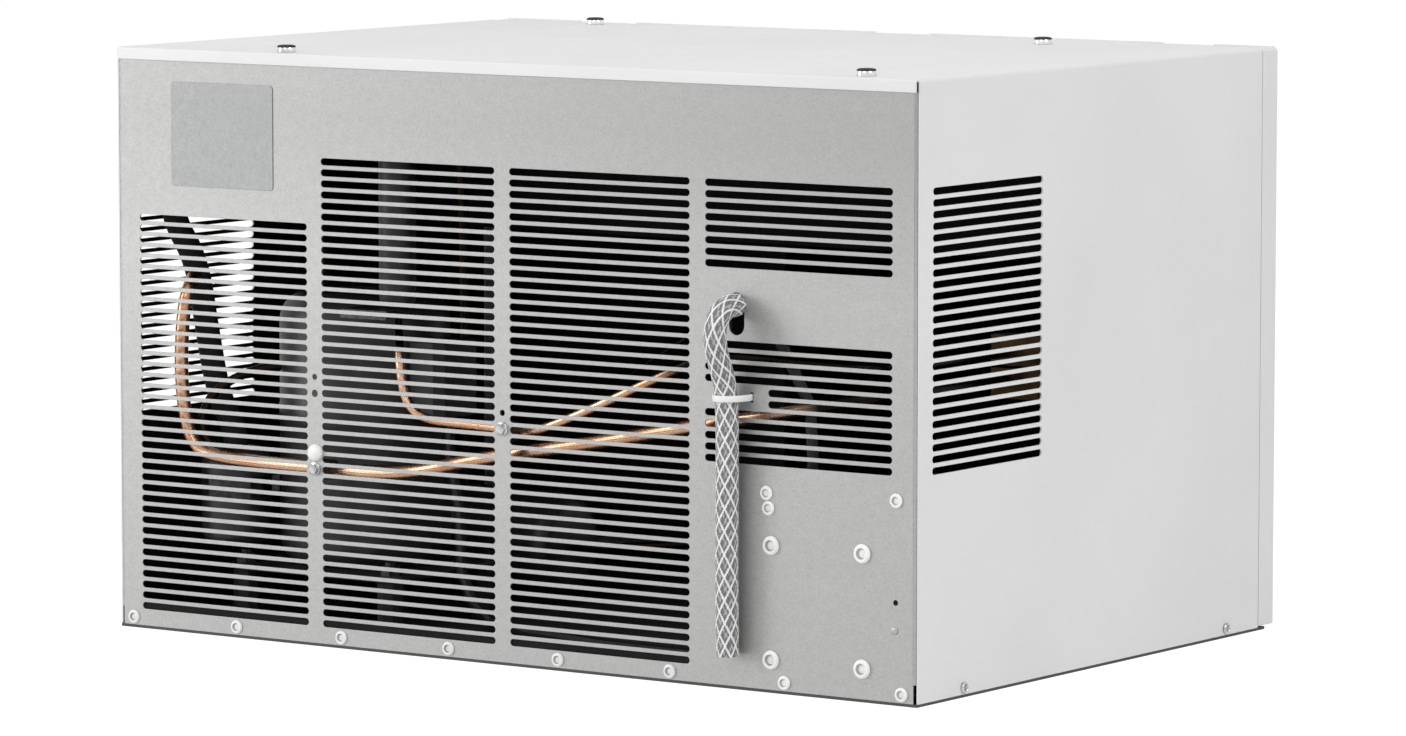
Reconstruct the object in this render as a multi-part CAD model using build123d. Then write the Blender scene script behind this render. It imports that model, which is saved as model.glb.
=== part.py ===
from build123d import *
import os
from math import cos, pi, radians, sin, tan

# A boxed refrigeration condensing unit. Millimetres, +Z up, origin on the floor under the
# middle of the casing. The slotted service face looks along -Y, the air inlet along +Y.

os.makedirs("parts", exist_ok=True)

# ---- Casing -------------------------------------------------------------------------------
width = 660.4            # over the side walls
casing_depth = 431.8     # rear face to the front seam
bezel_depth = 19.6       # front bezel
seam_gap = 0.8           # dark joint between casing and bezel
height = 403.2           # floor to the top sheet
cover_sheet = 1.2        # painted wrap: top and both sides in one piece
rear_sheet = 1.0         # galvanised rear panel
pan_sheet = 2.0          # base pan floor
pan_wall = 1.6           # base pan upturned walls
pan_wall_height = 18.0
touch_gap = 0.1          # clearance between a folded panel and the wrap
soft_gap = 0.3           # clearance between curved faces that nearly touch
cover_bend = 2.5         # outer bend radius of the wrap
rear_bend = 1.8          # outer bend radius of the rear panel's folds
edge_setback = 1.1       # wrap side edges stop this far in front of the rear face
rear_lip = 8.2           # top sheet folded down over the rear panel
lip_relief = 1.75        # that lip stops this short of each side
rear_fold = 12.0         # side folds of the rear panel
corner_notch = 12.4      # height of the notch at the panel's lower corners
corner_notch_width = 1.9

# ---- Slotted grilles ----------------------------------------------------------------------
slot_pitch = 7.5
slot_height = 4.8
slot_web = 12.2          # metal between two columns
column_margin = 13.6     # side wall to the first column, less half a web
top_margin = 72.2        # top sheet to the highest slot row
lowest_row = 15.0        # no row lies below this
left_rows_missing = 6    # rows left out above the first column, beside the plate
right_upper_rows = 8     # rows above the cord outlet
right_lower_rows = (14, 24)
tie_rows = (18, 19)      # rows shortened to leave metal for the tie
tie_row_gap = 24.8       # outlet's middle to the start of those rows
side_slot_length = 132.0
side_slot_inset = 16.8   # rear face to the first end of a side slot
side_rows = 25

# ---- Rear panel furniture -----------------------------------------------------------------
rivet_radius = 4.8
rivet_rise = 1.7
rivet_row_height = 7.5
rivet_margin = 12.05     # side wall to the first rivet
rivet_count = 8
big_rivet_radius = 6.4
big_rivet_rise = 2.3
box_rivet_inset = 77.8   # right wall to the middle of the four
box_rivet_height = 59.2
box_rivet_pitch = (71.0, 75.0)
plate_size = (88.6, 71.6, 0.5)
plate_gap = 14.2         # rear lip to the plate
outlet_inset = 140.8     # right wall to the middle of the cord outlet
outlet_width = 12.2
outlet_length = 28.0
outlet_bottom = 232.2
tie_height = 192.4
tie_spread = 11.8        # half the distance between the two tie slots
tie_slot = (3.2, 7.0)
clip_heights = (121.4, 158.9)
clip_shank = 1.9
clip_reach = 7.0         # how far the screws reach behind the rear face
clip_screw_radius = 4.6
clip_screw_rise = 4.0
plug_point = (-157.6, 132.6)
plug_radius = 5.8
plug_rise = 4.6
web_holes = ((0, 184.3, 2.05), (0, 173.0, 2.5), (1, 169.7, 2.05))   # web, height, radius
corner_hole = (16.8, 66.7, 1.9)   # inset from the right wall, height, radius
corner_stud = (17.5, 48.5)
corner_stud_radius = 2.6
bracket_rivets = ((117.1, 130.8), (115.5, 121.0), (16.3, 132.7))   # inset and height
side_screws = ((54.9, 6.6), (388.0, 6.6))
side_screw_radius = 3.8
side_screw_rise = 2.2

# ---- Top bumpers --------------------------------------------------------------------------
bumper_points = ((-192.1, -211.9), (278.5, -208.7), (-228.4, 198.0), (177.0, 166.6))
bumper_radius = 6.4
bumper_rise = 3.4
bumper_cap_rise = 1.6

# ---- Base mounting holes ------------------------------------------------------------------
foot_hole_inset_x = 30.2  # side wall to the holes
foot_hole_inset_y = 36.1  # rear face, and front face, to the holes
foot_hole_radius = 4.5

# ---- Front --------------------------------------------------------------------------------
bezel_sheet = 1.5
bezel_floor_gap = 3.0
bezel_top_step = 0.3
bezel_lip = 0.8
lip_notches = ((-236.0, 50.0), (22.0, 46.0), (259.0, 41.0))
window_x = (-12.0, 306.0)
window_z = (24.0, 300.0)
grille_frame = 12.0
grille_depth = 10.0
louvre_count = 15
louvre_tilt = 35.0

# ---- Coil, shroud and fan -----------------------------------------------------------------
coil_x = (25.0, 300.0)
coil_z = (22.0, 258.0)
coil_rear = 76.0
coil_depth = 38.0
end_plate = 1.5
end_plate_margin = 4.0
tube_pitch = 25.4
coil_tube_radius = 4.75
fan_radius = 101.5
fan_tip_gap = 4.5
fan_blades = 5
blade_sweep = 27.0       # half the angle that a blade's tip spans
fan_pitch = 30.0         # blade angle, degrees
blade_root_chord = 36.0
blade_sheet = 1.6
blade_tip_chord = 66.0
hub_radius = 22.0
hub_length = 24.0
shroud_sheet = 1.5
collar_depth = 18.0
shaft_radius = 3.97
running_gap = 0.05
motor_radius = 41.0
motor_length = 42.0
motor_gap = 8.0          # hub to motor
motor_nose = 10.0        # how far the shaft runs into the motor
hub_gap = 8.0            # shroud to hub
blade_bow = 70.0         # bend radius of the blade sheet
bracket_width = 44.0
bracket_sheet = 2.0

# ---- Compressor ---------------------------------------------------------------------------
comp_x = -199.8
comp_y = -116.1
comp_radius = 60.0
comp_bottom = 42.0
comp_top = 232.0
comp_crown = 20.0
foot_plate = (150.0, 132.0, 4.0)
foot_hole_inset = 12.0   # plate edge to the middle of each grommet
grommet_radius = 9.5
bolt_radius = 4.0
nut_radius = 7.5
nut_height = 6.5
bolt_end = 2.5           # thread above the nut
accumulator_radius = 24.0
accumulator_gap = 6.0
accumulator_turn = 218.0  # where it stands around the shell, degrees from +X
accumulator_z = (58.0, 124.0)
strap_sheet = 1.5
strap_width = 14.0
terminal_z = (150.0, 202.0)
terminal_reach = 26.0
terminal_half = 24.0
process_radius = 2.4

# ---- Tanks and tubes ----------------------------------------------------------------------
receiver_radius = 38.0
receiver_length = 190.0
receiver_centre = (-212.0, 16.0)
receiver_lift = 6.0      # pan floor to the tank
drier_radius = 12.7
drier_place = (-110.0, -196.0)
drier_z = (232.0, 356.0)
shelf_x = (-137.0, -98.0)
shelf_drop = 6.0
shelf_sheet = 1.5
suction_size = 9.5       # bare copper, 3/8 in
liquid_size = 6.35       # bare copper, 1/4 in
foam_size = 17.0         # foam over the suction line
clip_plane = 15.0        # rear face to the axes of the clipped tubes
clip_width = 10.0
clip_sheet = 1.5
gentle_turn = 34.0       # degrees; a line's corner below this is one turn
valve_depth = 43.0       # how far the right-hand valves stand off the side wall
valve_y = (-70.0, -46.0)
valve_z = (184.0, 226.0)
upper_valve_z = 306.0
upper_valve_size = (24.0, 40.0, 24.0)

# ---- Electrical box on the rear panel -----------------------------------------------------
box_inset = 14.2         # right wall to the box
box_width = 111.0
box_y = 58.0             # depth of the box
box_z = (24.0, 134.0)
box_sheet = 1.2
loom_size = 8.0
loom_inset = 101.2       # right wall to where the loom enters the box

# ---- Sleeved cord and its tie -------------------------------------------------------------
sleeve_diameter = 15.0
tie_band = 1.2
tie_width = 4.8
tie_out = 11.6           # rear face to the middle of the tie's loop
tie_ease = 1.2           # sleeve to the loop

# ---- Derived places -----------------------------------------------------------------------
depth = casing_depth + seam_gap + bezel_depth
rear_y = -depth / 2
seam_y = rear_y + casing_depth
front_y = depth / 2
half = width / 2
rear_half = half - cover_sheet - touch_gap
rear_inner = rear_y + rear_sheet
top_inner = height - cover_sheet
cover_inner = half - cover_sheet
tube_y = rear_y + clip_plane
column_pitch = (width - 2 * column_margin) / 4
slot_length = column_pitch - slot_web
first_row = height - top_margin
row_count = int((first_row - lowest_row) / slot_pitch) + 1
columns = [(i - 1.5) * column_pitch for i in range(4)]
webs = [(left + right) / 2 for left, right in zip(columns, columns[1:])]
clip_points = tuple(zip(webs, clip_heights))
rivet_pitch = (width - 2 * rivet_margin) / (rivet_count - 1)
plate_height = height - rear_lip - plate_gap - plate_size[1] / 2
valve_x = (cover_inner - valve_depth, cover_inner)
foot_hole_pitch = (width - 2 * foot_hole_inset_x, depth - 2 * foot_hole_inset_y)
outlet_x = half - outlet_inset
loom_entry = half - loom_inset
box_x = (half - box_inset - box_width, half - box_inset)
box_rivet_x = half - box_rivet_inset
face_plane = Plane(origin=(0, rear_y, 0), x_dir=(1, 0, 0), z_dir=(0, -1, 0))


# ---- Helpers ------------------------------------------------------------------------------
def block(x, y, z):
    """A box between three pairs of limits."""
    limits = (x, y, z)
    size = [high - low for low, high in limits]
    middle = [(high + low) / 2 for low, high in limits]
    return Pos(*middle) * Box(*size)


def rod(start, end, radius):
    """A round bar between two points."""
    start = Vector(*start)
    run = Vector(*end) - start
    plane = Plane(origin=start, z_dir=run.normalized())
    return extrude(plane * Circle(radius), run.length)


def bar(start, end, radius, sides=8):
    """A light eight-sided bar, for small pieces whose roundness belongs to their finish."""
    start = Vector(*start)
    run = Vector(*end) - start
    plane = Plane(origin=start, z_dir=run.normalized())
    return extrude(plane * RegularPolygon(radius, sides), run.length)


def head(radius, rise):
    """A low fastener head: flat side on the plane, its top edge drawn in."""
    shape = extrude(RegularPolygon(radius, 8), rise)
    rim = shape.edges().filter_by(Plane.XY).group_by(Axis.Z)[-1]
    return chamfer(rim, 0.7 * rise, 0.3 * radius)


def slot(length, tall, turn=0):
    """A long slot whose ends are drawn as half octagons."""
    shape = Rectangle(length, tall)
    return Rot(0, 0, turn) * chamfer(shape.vertices(), 0.29 * tall)


def row_slot(length):
    """One slot of the grilles, light enough to repeat: its ends have two edges each."""
    end = length / 2
    side = slot_height / 2
    shoulder = end - 0.8 * side
    upper = [(end, 0), (shoulder, side), (-shoulder, side), (-end, 0)]
    lower = [(-shoulder, -side), (shoulder, -side)]
    return Polygon(*upper, *lower, align=None)


def route(points):
    """Corner radii of a smooth route: as large as its two runs allow."""
    radii = []
    corners = [Vector(*point) for point in points]
    for before, here, after in zip(corners, corners[1:], corners[2:]):
        run_in = here - before
        run_out = after - here
        turn = radians(run_in.get_angle(run_out))
        radii.append(0.45 * min(run_in.length, run_out.length) / tan(turn / 2))
    return radii


def tube(points, diameter, radii, sides=8):
    """A light many-sided tube along straight runs joined by tangent arcs."""
    path = FilletPolyline(*points, radius=radii)
    start = Plane(origin=path @ 0, z_dir=path % 0)
    return sweep(start * RegularPolygon(diameter / 2, sides), path=path)


def line_tube(points, diameter, sides=8):
    """A refrigerant line or loom, with every marked bend drawn as two lighter turns."""
    corners = [Vector(*point) for point in points]
    path = [corners[0]]
    for before, here, after in zip(corners, corners[1:], corners[2:]):
        if (here - before).get_angle(after - here) < gentle_turn:
            path.append(here)
            continue
        reach = 0.4 * min((here - before).length, (after - here).length)
        path.append(here + (before - here).normalized() * reach)
        path.append(here + (after - here).normalized() * reach)
    path.append(corners[-1])
    line = Polyline(*path)
    start = Plane(origin=line @ 0, z_dir=line % 0)
    return sweep(start * RegularPolygon(diameter / 2, sides), path=line, transition=Transition.RIGHT)


def can(radius, length, shoulder, sides=20):
    """A pressed can along +Z with drawn-in ends, as a light many-sided form."""
    shape = extrude(RegularPolygon(radius, sides), length)
    rims = shape.edges().filter_by(Plane.XY)
    return chamfer(rims, shoulder, 0.6 * shoulder)


def on_rear(x, z, shape):
    """A solid drawn on a sheet that faces the viewer of the rear face."""
    return face_plane * Pos(x, z, 0) * shape


def row_z(row):
    """Height of a slot row, counted from the highest."""
    return first_row - row * slot_pitch


def save(name, *solids):
    """Write one node."""
    shape = solids[0] if len(solids) == 1 else Compound(children=[Compound(s.wrapped) for s in solids])
    export_step(shape, f"parts/{name}.step")


# ---- Base pan -----------------------------------------------------------------------------
def base_pan():
    pan_front = seam_y + bezel_depth / 2
    wall_top = pan_sheet + pan_wall_height
    floor = block((-half + 0.4, half - 0.4), (rear_y + 0.3, pan_front), (0, pan_sheet))
    walls_z = (0, wall_top)
    inside = cover_inner - pan_wall
    rear_wall = block((-inside + 2, inside - 2), (rear_inner, rear_inner + pan_wall), walls_z)
    front_wall = block((-inside, inside), (seam_y - pan_wall, seam_y), walls_z)
    side_y = (rear_y + rear_fold + 2, seam_y)
    left_wall = block((-cover_inner, -inside), side_y, walls_z)
    right_wall = block((inside, cover_inner), side_y, walls_z)
    pan = floor + rear_wall + front_wall + left_wall + right_wall
    spots = GridLocations(*foot_hole_pitch, 2, 2)
    pan -= [spot * Cylinder(foot_hole_radius, 4 * pan_sheet) for spot in spots]
    return pan


# ---- Rear panel ---------------------------------------------------------------------------
def slot_places():
    """Centre, height and length of every slot in the rear panel."""
    places = []
    last = columns[3]
    for row in range(row_count):
        if row >= left_rows_missing:
            places.append((columns[0], row_z(row), slot_length))
        places.append((columns[1], row_z(row), slot_length))
        places.append((columns[2], row_z(row), slot_length))
        if row in tie_rows:
            end = last + slot_length / 2
            start = outlet_x + tie_row_gap
            places.append(((start + end) / 2, row_z(row), end - start))
        elif row < right_upper_rows or right_lower_rows[0] <= row <= right_lower_rows[1]:
            places.append((last, row_z(row), slot_length))
    return places


def rear_panel():
    panel_top = top_inner - touch_gap
    middle = (panel_top + pan_sheet) / 2
    face = Pos(0, middle) * Rectangle(2 * rear_half, panel_top - pan_sheet)
    cuts = [Pos(x, z) * row_slot(length) for x, z, length in slot_places()]
    outlet_z = outlet_bottom + outlet_length / 2
    cuts.append(Pos(outlet_x, outlet_z) * slot(outlet_length, outlet_width, 90))
    for side in (-1, 1):
        spot = Pos(outlet_x + side * tie_spread, tie_height)
        cuts.append(spot * slot(tie_slot[1], tie_slot[0], 90))
    holes = [(webs[web], z, radius) for web, z, radius in web_holes]
    holes.append((half - corner_hole[0], *corner_hole[1:]))
    for x, z, radius in holes:
        cuts.append(Pos(x, z) * RegularPolygon(radius, 8))
    for x, z in clip_points:
        cuts.append(Pos(x, z) * RegularPolygon(clip_shank + touch_gap, 8))
    panel = extrude(face_plane * (face - cuts), -rear_sheet)
    for side in (-1, 1):
        edges = sorted((side * rear_half, side * (rear_half - rear_sheet)))
        panel += block(edges, (rear_y, rear_y + rear_fold), (pan_sheet, panel_top))
    folds = panel.edges().filter_by(Axis.Z).filter_by(lambda e: abs(abs(e.center().X) - rear_half) < 0.01)
    panel = fillet(folds.filter_by(lambda e: abs(e.center().Y - rear_y) < 0.01), rear_bend)
    for side in (-1, 1):
        edges = sorted((side * (rear_half - corner_notch_width), side * (rear_half + 1)))
        notch_z = (pan_sheet, pan_sheet + corner_notch)
        panel -= block(edges, (rear_y - 1, rear_y + rear_fold + 1), notch_z)
    return panel


# ---- Wrap: top and sides in one folded sheet --------------------------------------------
def cover_wrap():
    side_y = (rear_y + edge_setback, seam_y)
    outer = block((-half, half), side_y, (pan_sheet, height))
    long_edges = outer.edges().filter_by(Axis.Y).sort_by(Axis.Z)[-2:]
    outer = fillet(long_edges, cover_bend)
    inner = block((-cover_inner, cover_inner), (rear_y - 1, seam_y + 1), (0, top_inner))
    wrap = outer - inner
    reach = half - lip_relief
    lip_y = (rear_y - cover_sheet, rear_y)
    lip = block((-reach, reach), (lip_y[0], rear_y + edge_setback + 1), (top_inner, height))
    lip += block((-reach, reach), lip_y, (height - rear_lip, height))
    fold = lip.edges().filter_by(Axis.X).sort_by(lambda e: e.center().Z - e.center().Y)[-1]
    wrap += fillet(fold, cover_sheet)
    side_plane = Plane(origin=(-width, 0, 0), x_dir=(0, 1, 0), z_dir=(1, 0, 0))
    slot_y = rear_y + side_slot_inset + side_slot_length / 2
    slots = Sketch() + [Pos(slot_y, row_z(row)) * row_slot(side_slot_length) for row in range(side_rows)]
    return wrap - extrude(side_plane * slots, 2 * width)


# ---- Front bezel and its grille -----------------------------------------------------------
def front_bezel():
    start = seam_y + seam_gap
    top = height - bezel_top_step
    outer = block((-half, half), (start, front_y), (bezel_floor_gap, top))
    outer = fillet(outer.edges().filter_by(Axis.Y).sort_by(Axis.Z)[-2:], cover_bend)
    wall = bezel_sheet
    inner = block((-half + wall, half - wall), (start - 1, front_y - wall),
                  (bezel_floor_gap + wall, top - wall))
    bezel = outer - inner
    bezel -= block(window_x, (start, front_y + 1), window_z)
    # a spigot that slides inside the wrap and carries the bezel
    reach = cover_inner - touch_gap
    spigot_y = (seam_y - 10, front_y - wall)
    spigot_z = (pan_sheet + pan_wall_height + 2, top_inner - touch_gap)
    ring = block((-reach, reach), spigot_y, spigot_z)
    hole = block((-reach + wall, reach - wall), (spigot_y[0] - 1, front_y),
                 (spigot_z[0] - 1, spigot_z[1] - wall))
    bezel += ring - hole
    lip = block((-half + cover_bend, half - cover_bend), (front_y - 1, front_y), (top - 1, top + bezel_lip))
    for x, length in lip_notches:
        lip -= block((x - length / 2, x + length / 2), (front_y - 2, front_y + 1), (top, height + 2))
    return bezel + lip


def front_grille():
    x = (window_x[0] - 6, window_x[1] + 6)
    z = (window_z[0] - 0, window_z[1] + 6)
    back = front_y - bezel_sheet - grille_depth
    y = (back, front_y - bezel_sheet)
    frame = block(x, y, z)
    opening_x = (x[0] + grille_frame, x[1] - grille_frame)
    opening_z = (z[0] + grille_frame, z[1] - grille_frame)
    frame -= block(opening_x, (y[0] - 1, y[1] + 1), opening_z)
    span = opening_z[1] - opening_z[0]
    pitch = span / louvre_count
    for row in range(louvre_count):
        centre = (sum(x) / 2, sum(y) / 2, opening_z[0] + (row + 0.5) * pitch)
        blade = Box(opening_x[1] - opening_x[0] + 2, grille_depth, 1.2)
        frame += Pos(*centre) * Rot(-louvre_tilt, 0, 0) * blade
    return frame


def acoustic_foam():
    y = front_y - bezel_sheet
    x = (-cover_inner + bezel_sheet + 2, window_x[0] - 10)
    z = (pan_sheet + pan_wall_height + 6, top_inner - bezel_sheet - 2)
    return block(x, (y - 12, y), z)


# ---- Rear panel furniture -----------------------------------------------------------------
def small_rivets():
    rivet = head(rivet_radius, rivet_rise)
    spots = [((i - (rivet_count - 1) / 2) * rivet_pitch, rivet_row_height) for i in range(rivet_count)]
    spots += [(half - inset, z) for inset, z in bracket_rivets]
    return [on_rear(x, z, rivet) for x, z in spots]


def box_rivets():
    rivet = head(big_rivet_radius, big_rivet_rise)
    spots = GridLocations(*box_rivet_pitch, 2, 2)
    return [face_plane * Pos(box_rivet_x, box_rivet_height) * spot * rivet for spot in spots]


def blank_plate():
    length, tall, thick = plate_size
    outline = chamfer(Rectangle(length, tall).vertices(), 1.6)
    return on_rear(columns[0], plate_height, extrude(outline, thick))


def clip_screws():
    screws = []
    for x, z in clip_points:
        screw = extrude(RegularPolygon(clip_screw_radius, 8), 1.0)
        screw += Pos(0, 0, 1) * extrude(RegularPolygon(clip_screw_radius * 0.82, 6), clip_screw_rise - 1)
        screw += Pos(0, 0, -clip_reach) * extrude(RegularPolygon(clip_shank, 8), clip_reach)
        screws.append(on_rear(x, z, screw))
    return screws


def plug_button():
    return on_rear(*plug_point, head(plug_radius, plug_rise))


def corner_stud_head():
    inset, z = corner_stud
    return on_rear(half - inset, z, head(corner_stud_radius, 1.0))


def side_panel_screws():
    screws = []
    for inset, z in side_screws:
        screws.append(Pos(half, rear_y + inset, z) * Rot(0, 90, 0) * head(side_screw_radius, side_screw_rise))
        screws.append(Pos(-half, rear_y + inset, z) * Rot(0, -90, 0) * head(side_screw_radius, side_screw_rise))
    return screws


def bumpers():
    posts = []
    caps = []
    for x, y in bumper_points:
        posts.append(Pos(x, y, height) * extrude(RegularPolygon(bumper_radius, 12), bumper_rise))
        caps.append(Pos(x, y, height + bumper_rise) * head(bumper_radius, bumper_cap_rise))
    return posts, caps


# ---- Sleeved cord and its tie -------------------------------------------------------------
# Route of the sleeve: across the panel, out from its face, and height.
sleeve_route = [
    (189.4, 0.0, 250.4),
    (189.4, 10.6, 250.4),
    (189.2, 20.2, 245.6),
    (188.9, 24.6, 235.6),
    (188.8, 22.4, 222.0),
    (189.1, 12.6, 203.0),
    (189.4, 10.4, 178.0),
    (188.9, 10.0, 130.0),
    (188.6, 10.3, 76.0),
    (189.2, 9.8, 23.0),
]


def sleeve():
    points = [(x, rear_y - out, z) for x, out, z in sleeve_route]
    radii = route(points)
    print("sleeve radii", [round(radius, 1) for radius in radii])
    solid = tube(points, sleeve_diameter, radii)
    path = FilletPolyline(*points, radius=radii)
    ideal = RegularPolygon(sleeve_diameter / 2, 8).area * path.length
    print("sleeve length", round(path.length, 1), "volume ratio", round(solid.volume / ideal, 4))
    return solid


def cable_tie():
    """A nylon band round the sleeve, through two slots and locked behind the panel."""
    inner = sleeve_diameter / 2 + tie_ease
    shapes = []
    for radius, spread in ((inner + tie_band, tie_spread + tie_band / 2), (inner, tie_spread - tie_band / 2)):
        ring = Pos(0, tie_out) * RegularPolygon(radius, 12)
        foot = Line((-spread, 0), (spread, 0))
        shapes.append(make_hull(ring.edges() + foot.edges()))
    band = shapes[0] - shapes[1]
    back = rear_sheet + soft_gap
    strip = 2 * tie_spread + tie_band
    for side in (-1, 1):
        band += Pos(side * tie_spread, -back / 2) * Rectangle(tie_band, back)
    band += Pos(0, -back - tie_band / 2) * Rectangle(strip, tie_band)
    band += Pos(tie_spread / 3, -back - tie_band - 2) * Rectangle(7, 5)
    plane = Plane(origin=(outlet_x, rear_y, tie_height - tie_width / 2), x_dir=(1, 0, 0), z_dir=(0, 0, 1))
    return extrude(plane * mirror(band, Plane.XZ), tie_width)


# ---- Condenser coil, shroud and baffle ----------------------------------------------------
def coil_fins():
    return block(coil_x, (coil_rear, coil_rear + coil_depth), coil_z)


def coil_end_plates():
    y = (coil_rear - end_plate_margin, coil_rear + coil_depth + end_plate_margin)
    z = (pan_sheet, coil_z[1] + end_plate_margin)
    left = block((coil_x[0] - end_plate, coil_x[0]), y, z)
    right = block((coil_x[1], coil_x[1] + end_plate), y, z)
    return [left, right]


def coil_rows():
    """Heights of the coil's tubes: an even number, so that both free ends lie on one side."""
    count = 2 * int((coil_z[1] - coil_z[0]) / tube_pitch / 2)
    return [sum(coil_z) / 2 + (i - (count - 1) / 2) * tube_pitch for i in range(count)]


def coil_bends():
    """Return bends: each joins two tubes where they leave an end plate."""
    bends = []
    rows = coil_rows()
    y = coil_rear + coil_depth / 2
    for side, out, joined in ((0, -1, rows[1:-1]), (1, 1, rows)):
        face = coil_x[side] + out * end_plate
        reach = out * tube_pitch / 2
        for low in joined[::2]:
            points = [(face, y, low), (face + 0.6 * reach, y, low), (face + 1.3 * reach, y, low + 0.3 * tube_pitch),
                      (face + 1.3 * reach, y, low + 0.7 * tube_pitch), (face + 0.6 * reach, y, low + tube_pitch),
                      (face, y, low + tube_pitch)]
            start = Plane(origin=points[0], z_dir=(out, 0, 0))
            section = start * RegularPolygon(coil_tube_radius, 6)
            bends.append(sweep(section, path=Polyline(*points), transition=Transition.RIGHT))
    return bends


def fan_centre():
    return (sum(coil_x) / 2, (coil_z[0] + coil_z[1]) / 2)


def shroud_rear():
    return coil_rear + coil_depth + end_plate_margin


def fan_shroud():
    x, z = fan_centre()
    bore = fan_radius + fan_tip_gap
    y = shroud_rear()
    plate = block((coil_x[0] - end_plate, coil_x[1] + end_plate), (y, y + shroud_sheet),
                  (pan_sheet, coil_z[1] + end_plate_margin))
    collar = bar((x, y, z), (x, y + collar_depth, z), bore + shroud_sheet, 40)
    hole = bar((x, y - 1, z), (x, y + collar_depth + 1, z), bore, 40)
    return plate + collar - hole


def blade():
    """One pitched, bowed blade, wider at its tip, its outline cut from a bent sheet."""
    reach = fan_radius - hub_radius + 2
    bend = Circle(blade_bow) - Circle(blade_bow - blade_sheet)
    half_tip = blade_tip_chord / 2
    sector = Rot(0, 0, 90) * Polygon((0, 0), (blade_bow + 9, half_tip + 6), (blade_bow + 9, -half_tip - 6), align=None)
    sheet = Pos(0, -blade_bow) * (bend & sector)
    place = Plane(origin=(hub_radius - 2, 0, hub_length / 2), x_dir=(0, 1, 0), z_dir=(1, 0, 0))
    solid = extrude(place * Rot(0, 0, fan_pitch) * sheet, reach + 6)
    half_root = blade_root_chord / 2
    tip = fan_radius * cos(radians(blade_sweep))
    side = fan_radius * sin(radians(blade_sweep))
    outline = Polygon((hub_radius - 2, -half_root * 0.7), (tip, -side), (fan_radius - 0.4, -side * 0.45),
                      (fan_radius, side * 0.2), (tip, side), (hub_radius - 2, half_root * 0.7), align=None)
    return solid & extrude(outline, hub_length + 60, both=True)


def fan_blade():
    """Hub and blades in one moulding."""
    x, z = fan_centre()
    hub = extrude(RegularPolygon(hub_radius, 16), hub_length)
    wheel = hub - Cylinder(shaft_radius, 4 * hub_length)
    one = blade()
    for i in range(fan_blades):
        wheel += Rot(0, 0, i * 360 / fan_blades) * one
    return Pos(x, shroud_rear() + hub_gap, z) * Rot(-90, 0, 0) * wheel


def fan_shaft():
    x, z = fan_centre()
    start = shroud_rear() + hub_gap
    end = start + hub_length + motor_gap + motor_nose
    return rod((x, start - 2, z), (x, end, z), shaft_radius)


def motor_rear():
    return shroud_rear() + hub_gap + hub_length + motor_gap


def fan_motor():
    """Shaded-pole motor: a short can with a bearing nose round its shaft."""
    x, z = fan_centre()
    nose = 7.0
    body = Pos(0, 0, nose) * extrude(RegularPolygon(motor_radius, 20), motor_length - nose)
    body += extrude(RegularPolygon(14, 12), nose)
    body -= extrude(Circle(shaft_radius + running_gap), motor_nose + 1)
    return Pos(x, motor_rear(), z) * Rot(-90, 0, 0) * body


def motor_bracket():
    x, z = fan_centre()
    face = motor_rear() + motor_length
    sides = (x - bracket_width / 2, x + bracket_width / 2)
    upright = block(sides, (face, face + bracket_sheet), (pan_sheet, z + motor_radius * 0.7))
    foot = block(sides, (shroud_rear() + shroud_sheet, face + bracket_sheet),
                 (pan_sheet, pan_sheet + bracket_sheet))
    return upright + foot


def motor_bolts():
    x, z = fan_centre()
    face = motor_rear() + motor_length + bracket_sheet
    spots = ((-14, -20), (14, -20), (-14, 20), (14, 20))
    bolt = Rot(-90, 0, 0) * extrude(RegularPolygon(4.0, 6), 3.0)
    return [Pos(x + dx, face, z + dz) * bolt for dx, dz in spots]


def air_baffle():
    """Sheet that closes the gap between the coil's top and the wrap, right across the unit."""
    low = coil_z[1] + end_plate_margin
    y = coil_rear
    sheet = block((-cover_inner, cover_inner), (y, y + rear_sheet), (low, top_inner))
    lip = block((-cover_inner, cover_inner), (y, y + 12), (low, low + rear_sheet))
    flange = block((-cover_inner, cover_inner), (y, y + 12), (top_inner - rear_sheet, top_inner))
    return sheet + lip + flange


# ---- Compressor ---------------------------------------------------------------------------
def accumulator_centre():
    reach = comp_radius + accumulator_gap + accumulator_radius
    turn = radians(accumulator_turn)
    return comp_x + reach * cos(turn), comp_y + reach * sin(turn)


def foot_spots():
    length, across, _ = foot_plate
    return GridLocations(length - 2 * foot_hole_inset, across - 2 * foot_hole_inset, 2, 2)


def compressor_shell():
    """Welded shell: a can with two pressed caps, and its sheet-metal foot plate."""
    shell = Pos(0, 0, comp_bottom) * can(comp_radius, comp_top - comp_bottom, comp_crown, 40)
    length, across, thick = foot_plate
    outline = chamfer(Rectangle(length, across).vertices(), 14)
    outline -= [spot * RegularPolygon(bolt_radius + 1, 6) for spot in foot_spots()]
    plate = Pos(0, 0, comp_bottom + 2) * extrude(outline, -thick)
    return Pos(comp_x, comp_y, 0) * (shell + plate)


def compressor_grommets():
    high = comp_bottom + 2 - foot_plate[2]
    ring = RegularPolygon(grommet_radius, 8) - RegularPolygon(bolt_radius + soft_gap, 6)
    body = Pos(0, 0, pan_sheet) * extrude(ring, high - pan_sheet)
    return [Pos(comp_x, comp_y, 0) * spot * body for spot in foot_spots()]


def compressor_bolts():
    """Studs from the pan, each with its nut on the foot plate."""
    top = comp_bottom + 2
    stud = Pos(0, 0, pan_sheet) * extrude(RegularPolygon(bolt_radius, 6), top - pan_sheet + nut_height + bolt_end)
    nut = Pos(0, 0, top) * extrude(RegularPolygon(nut_radius, 6), nut_height)
    return [Pos(comp_x, comp_y, 0) * spot * (stud + nut) for spot in foot_spots()]


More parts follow.
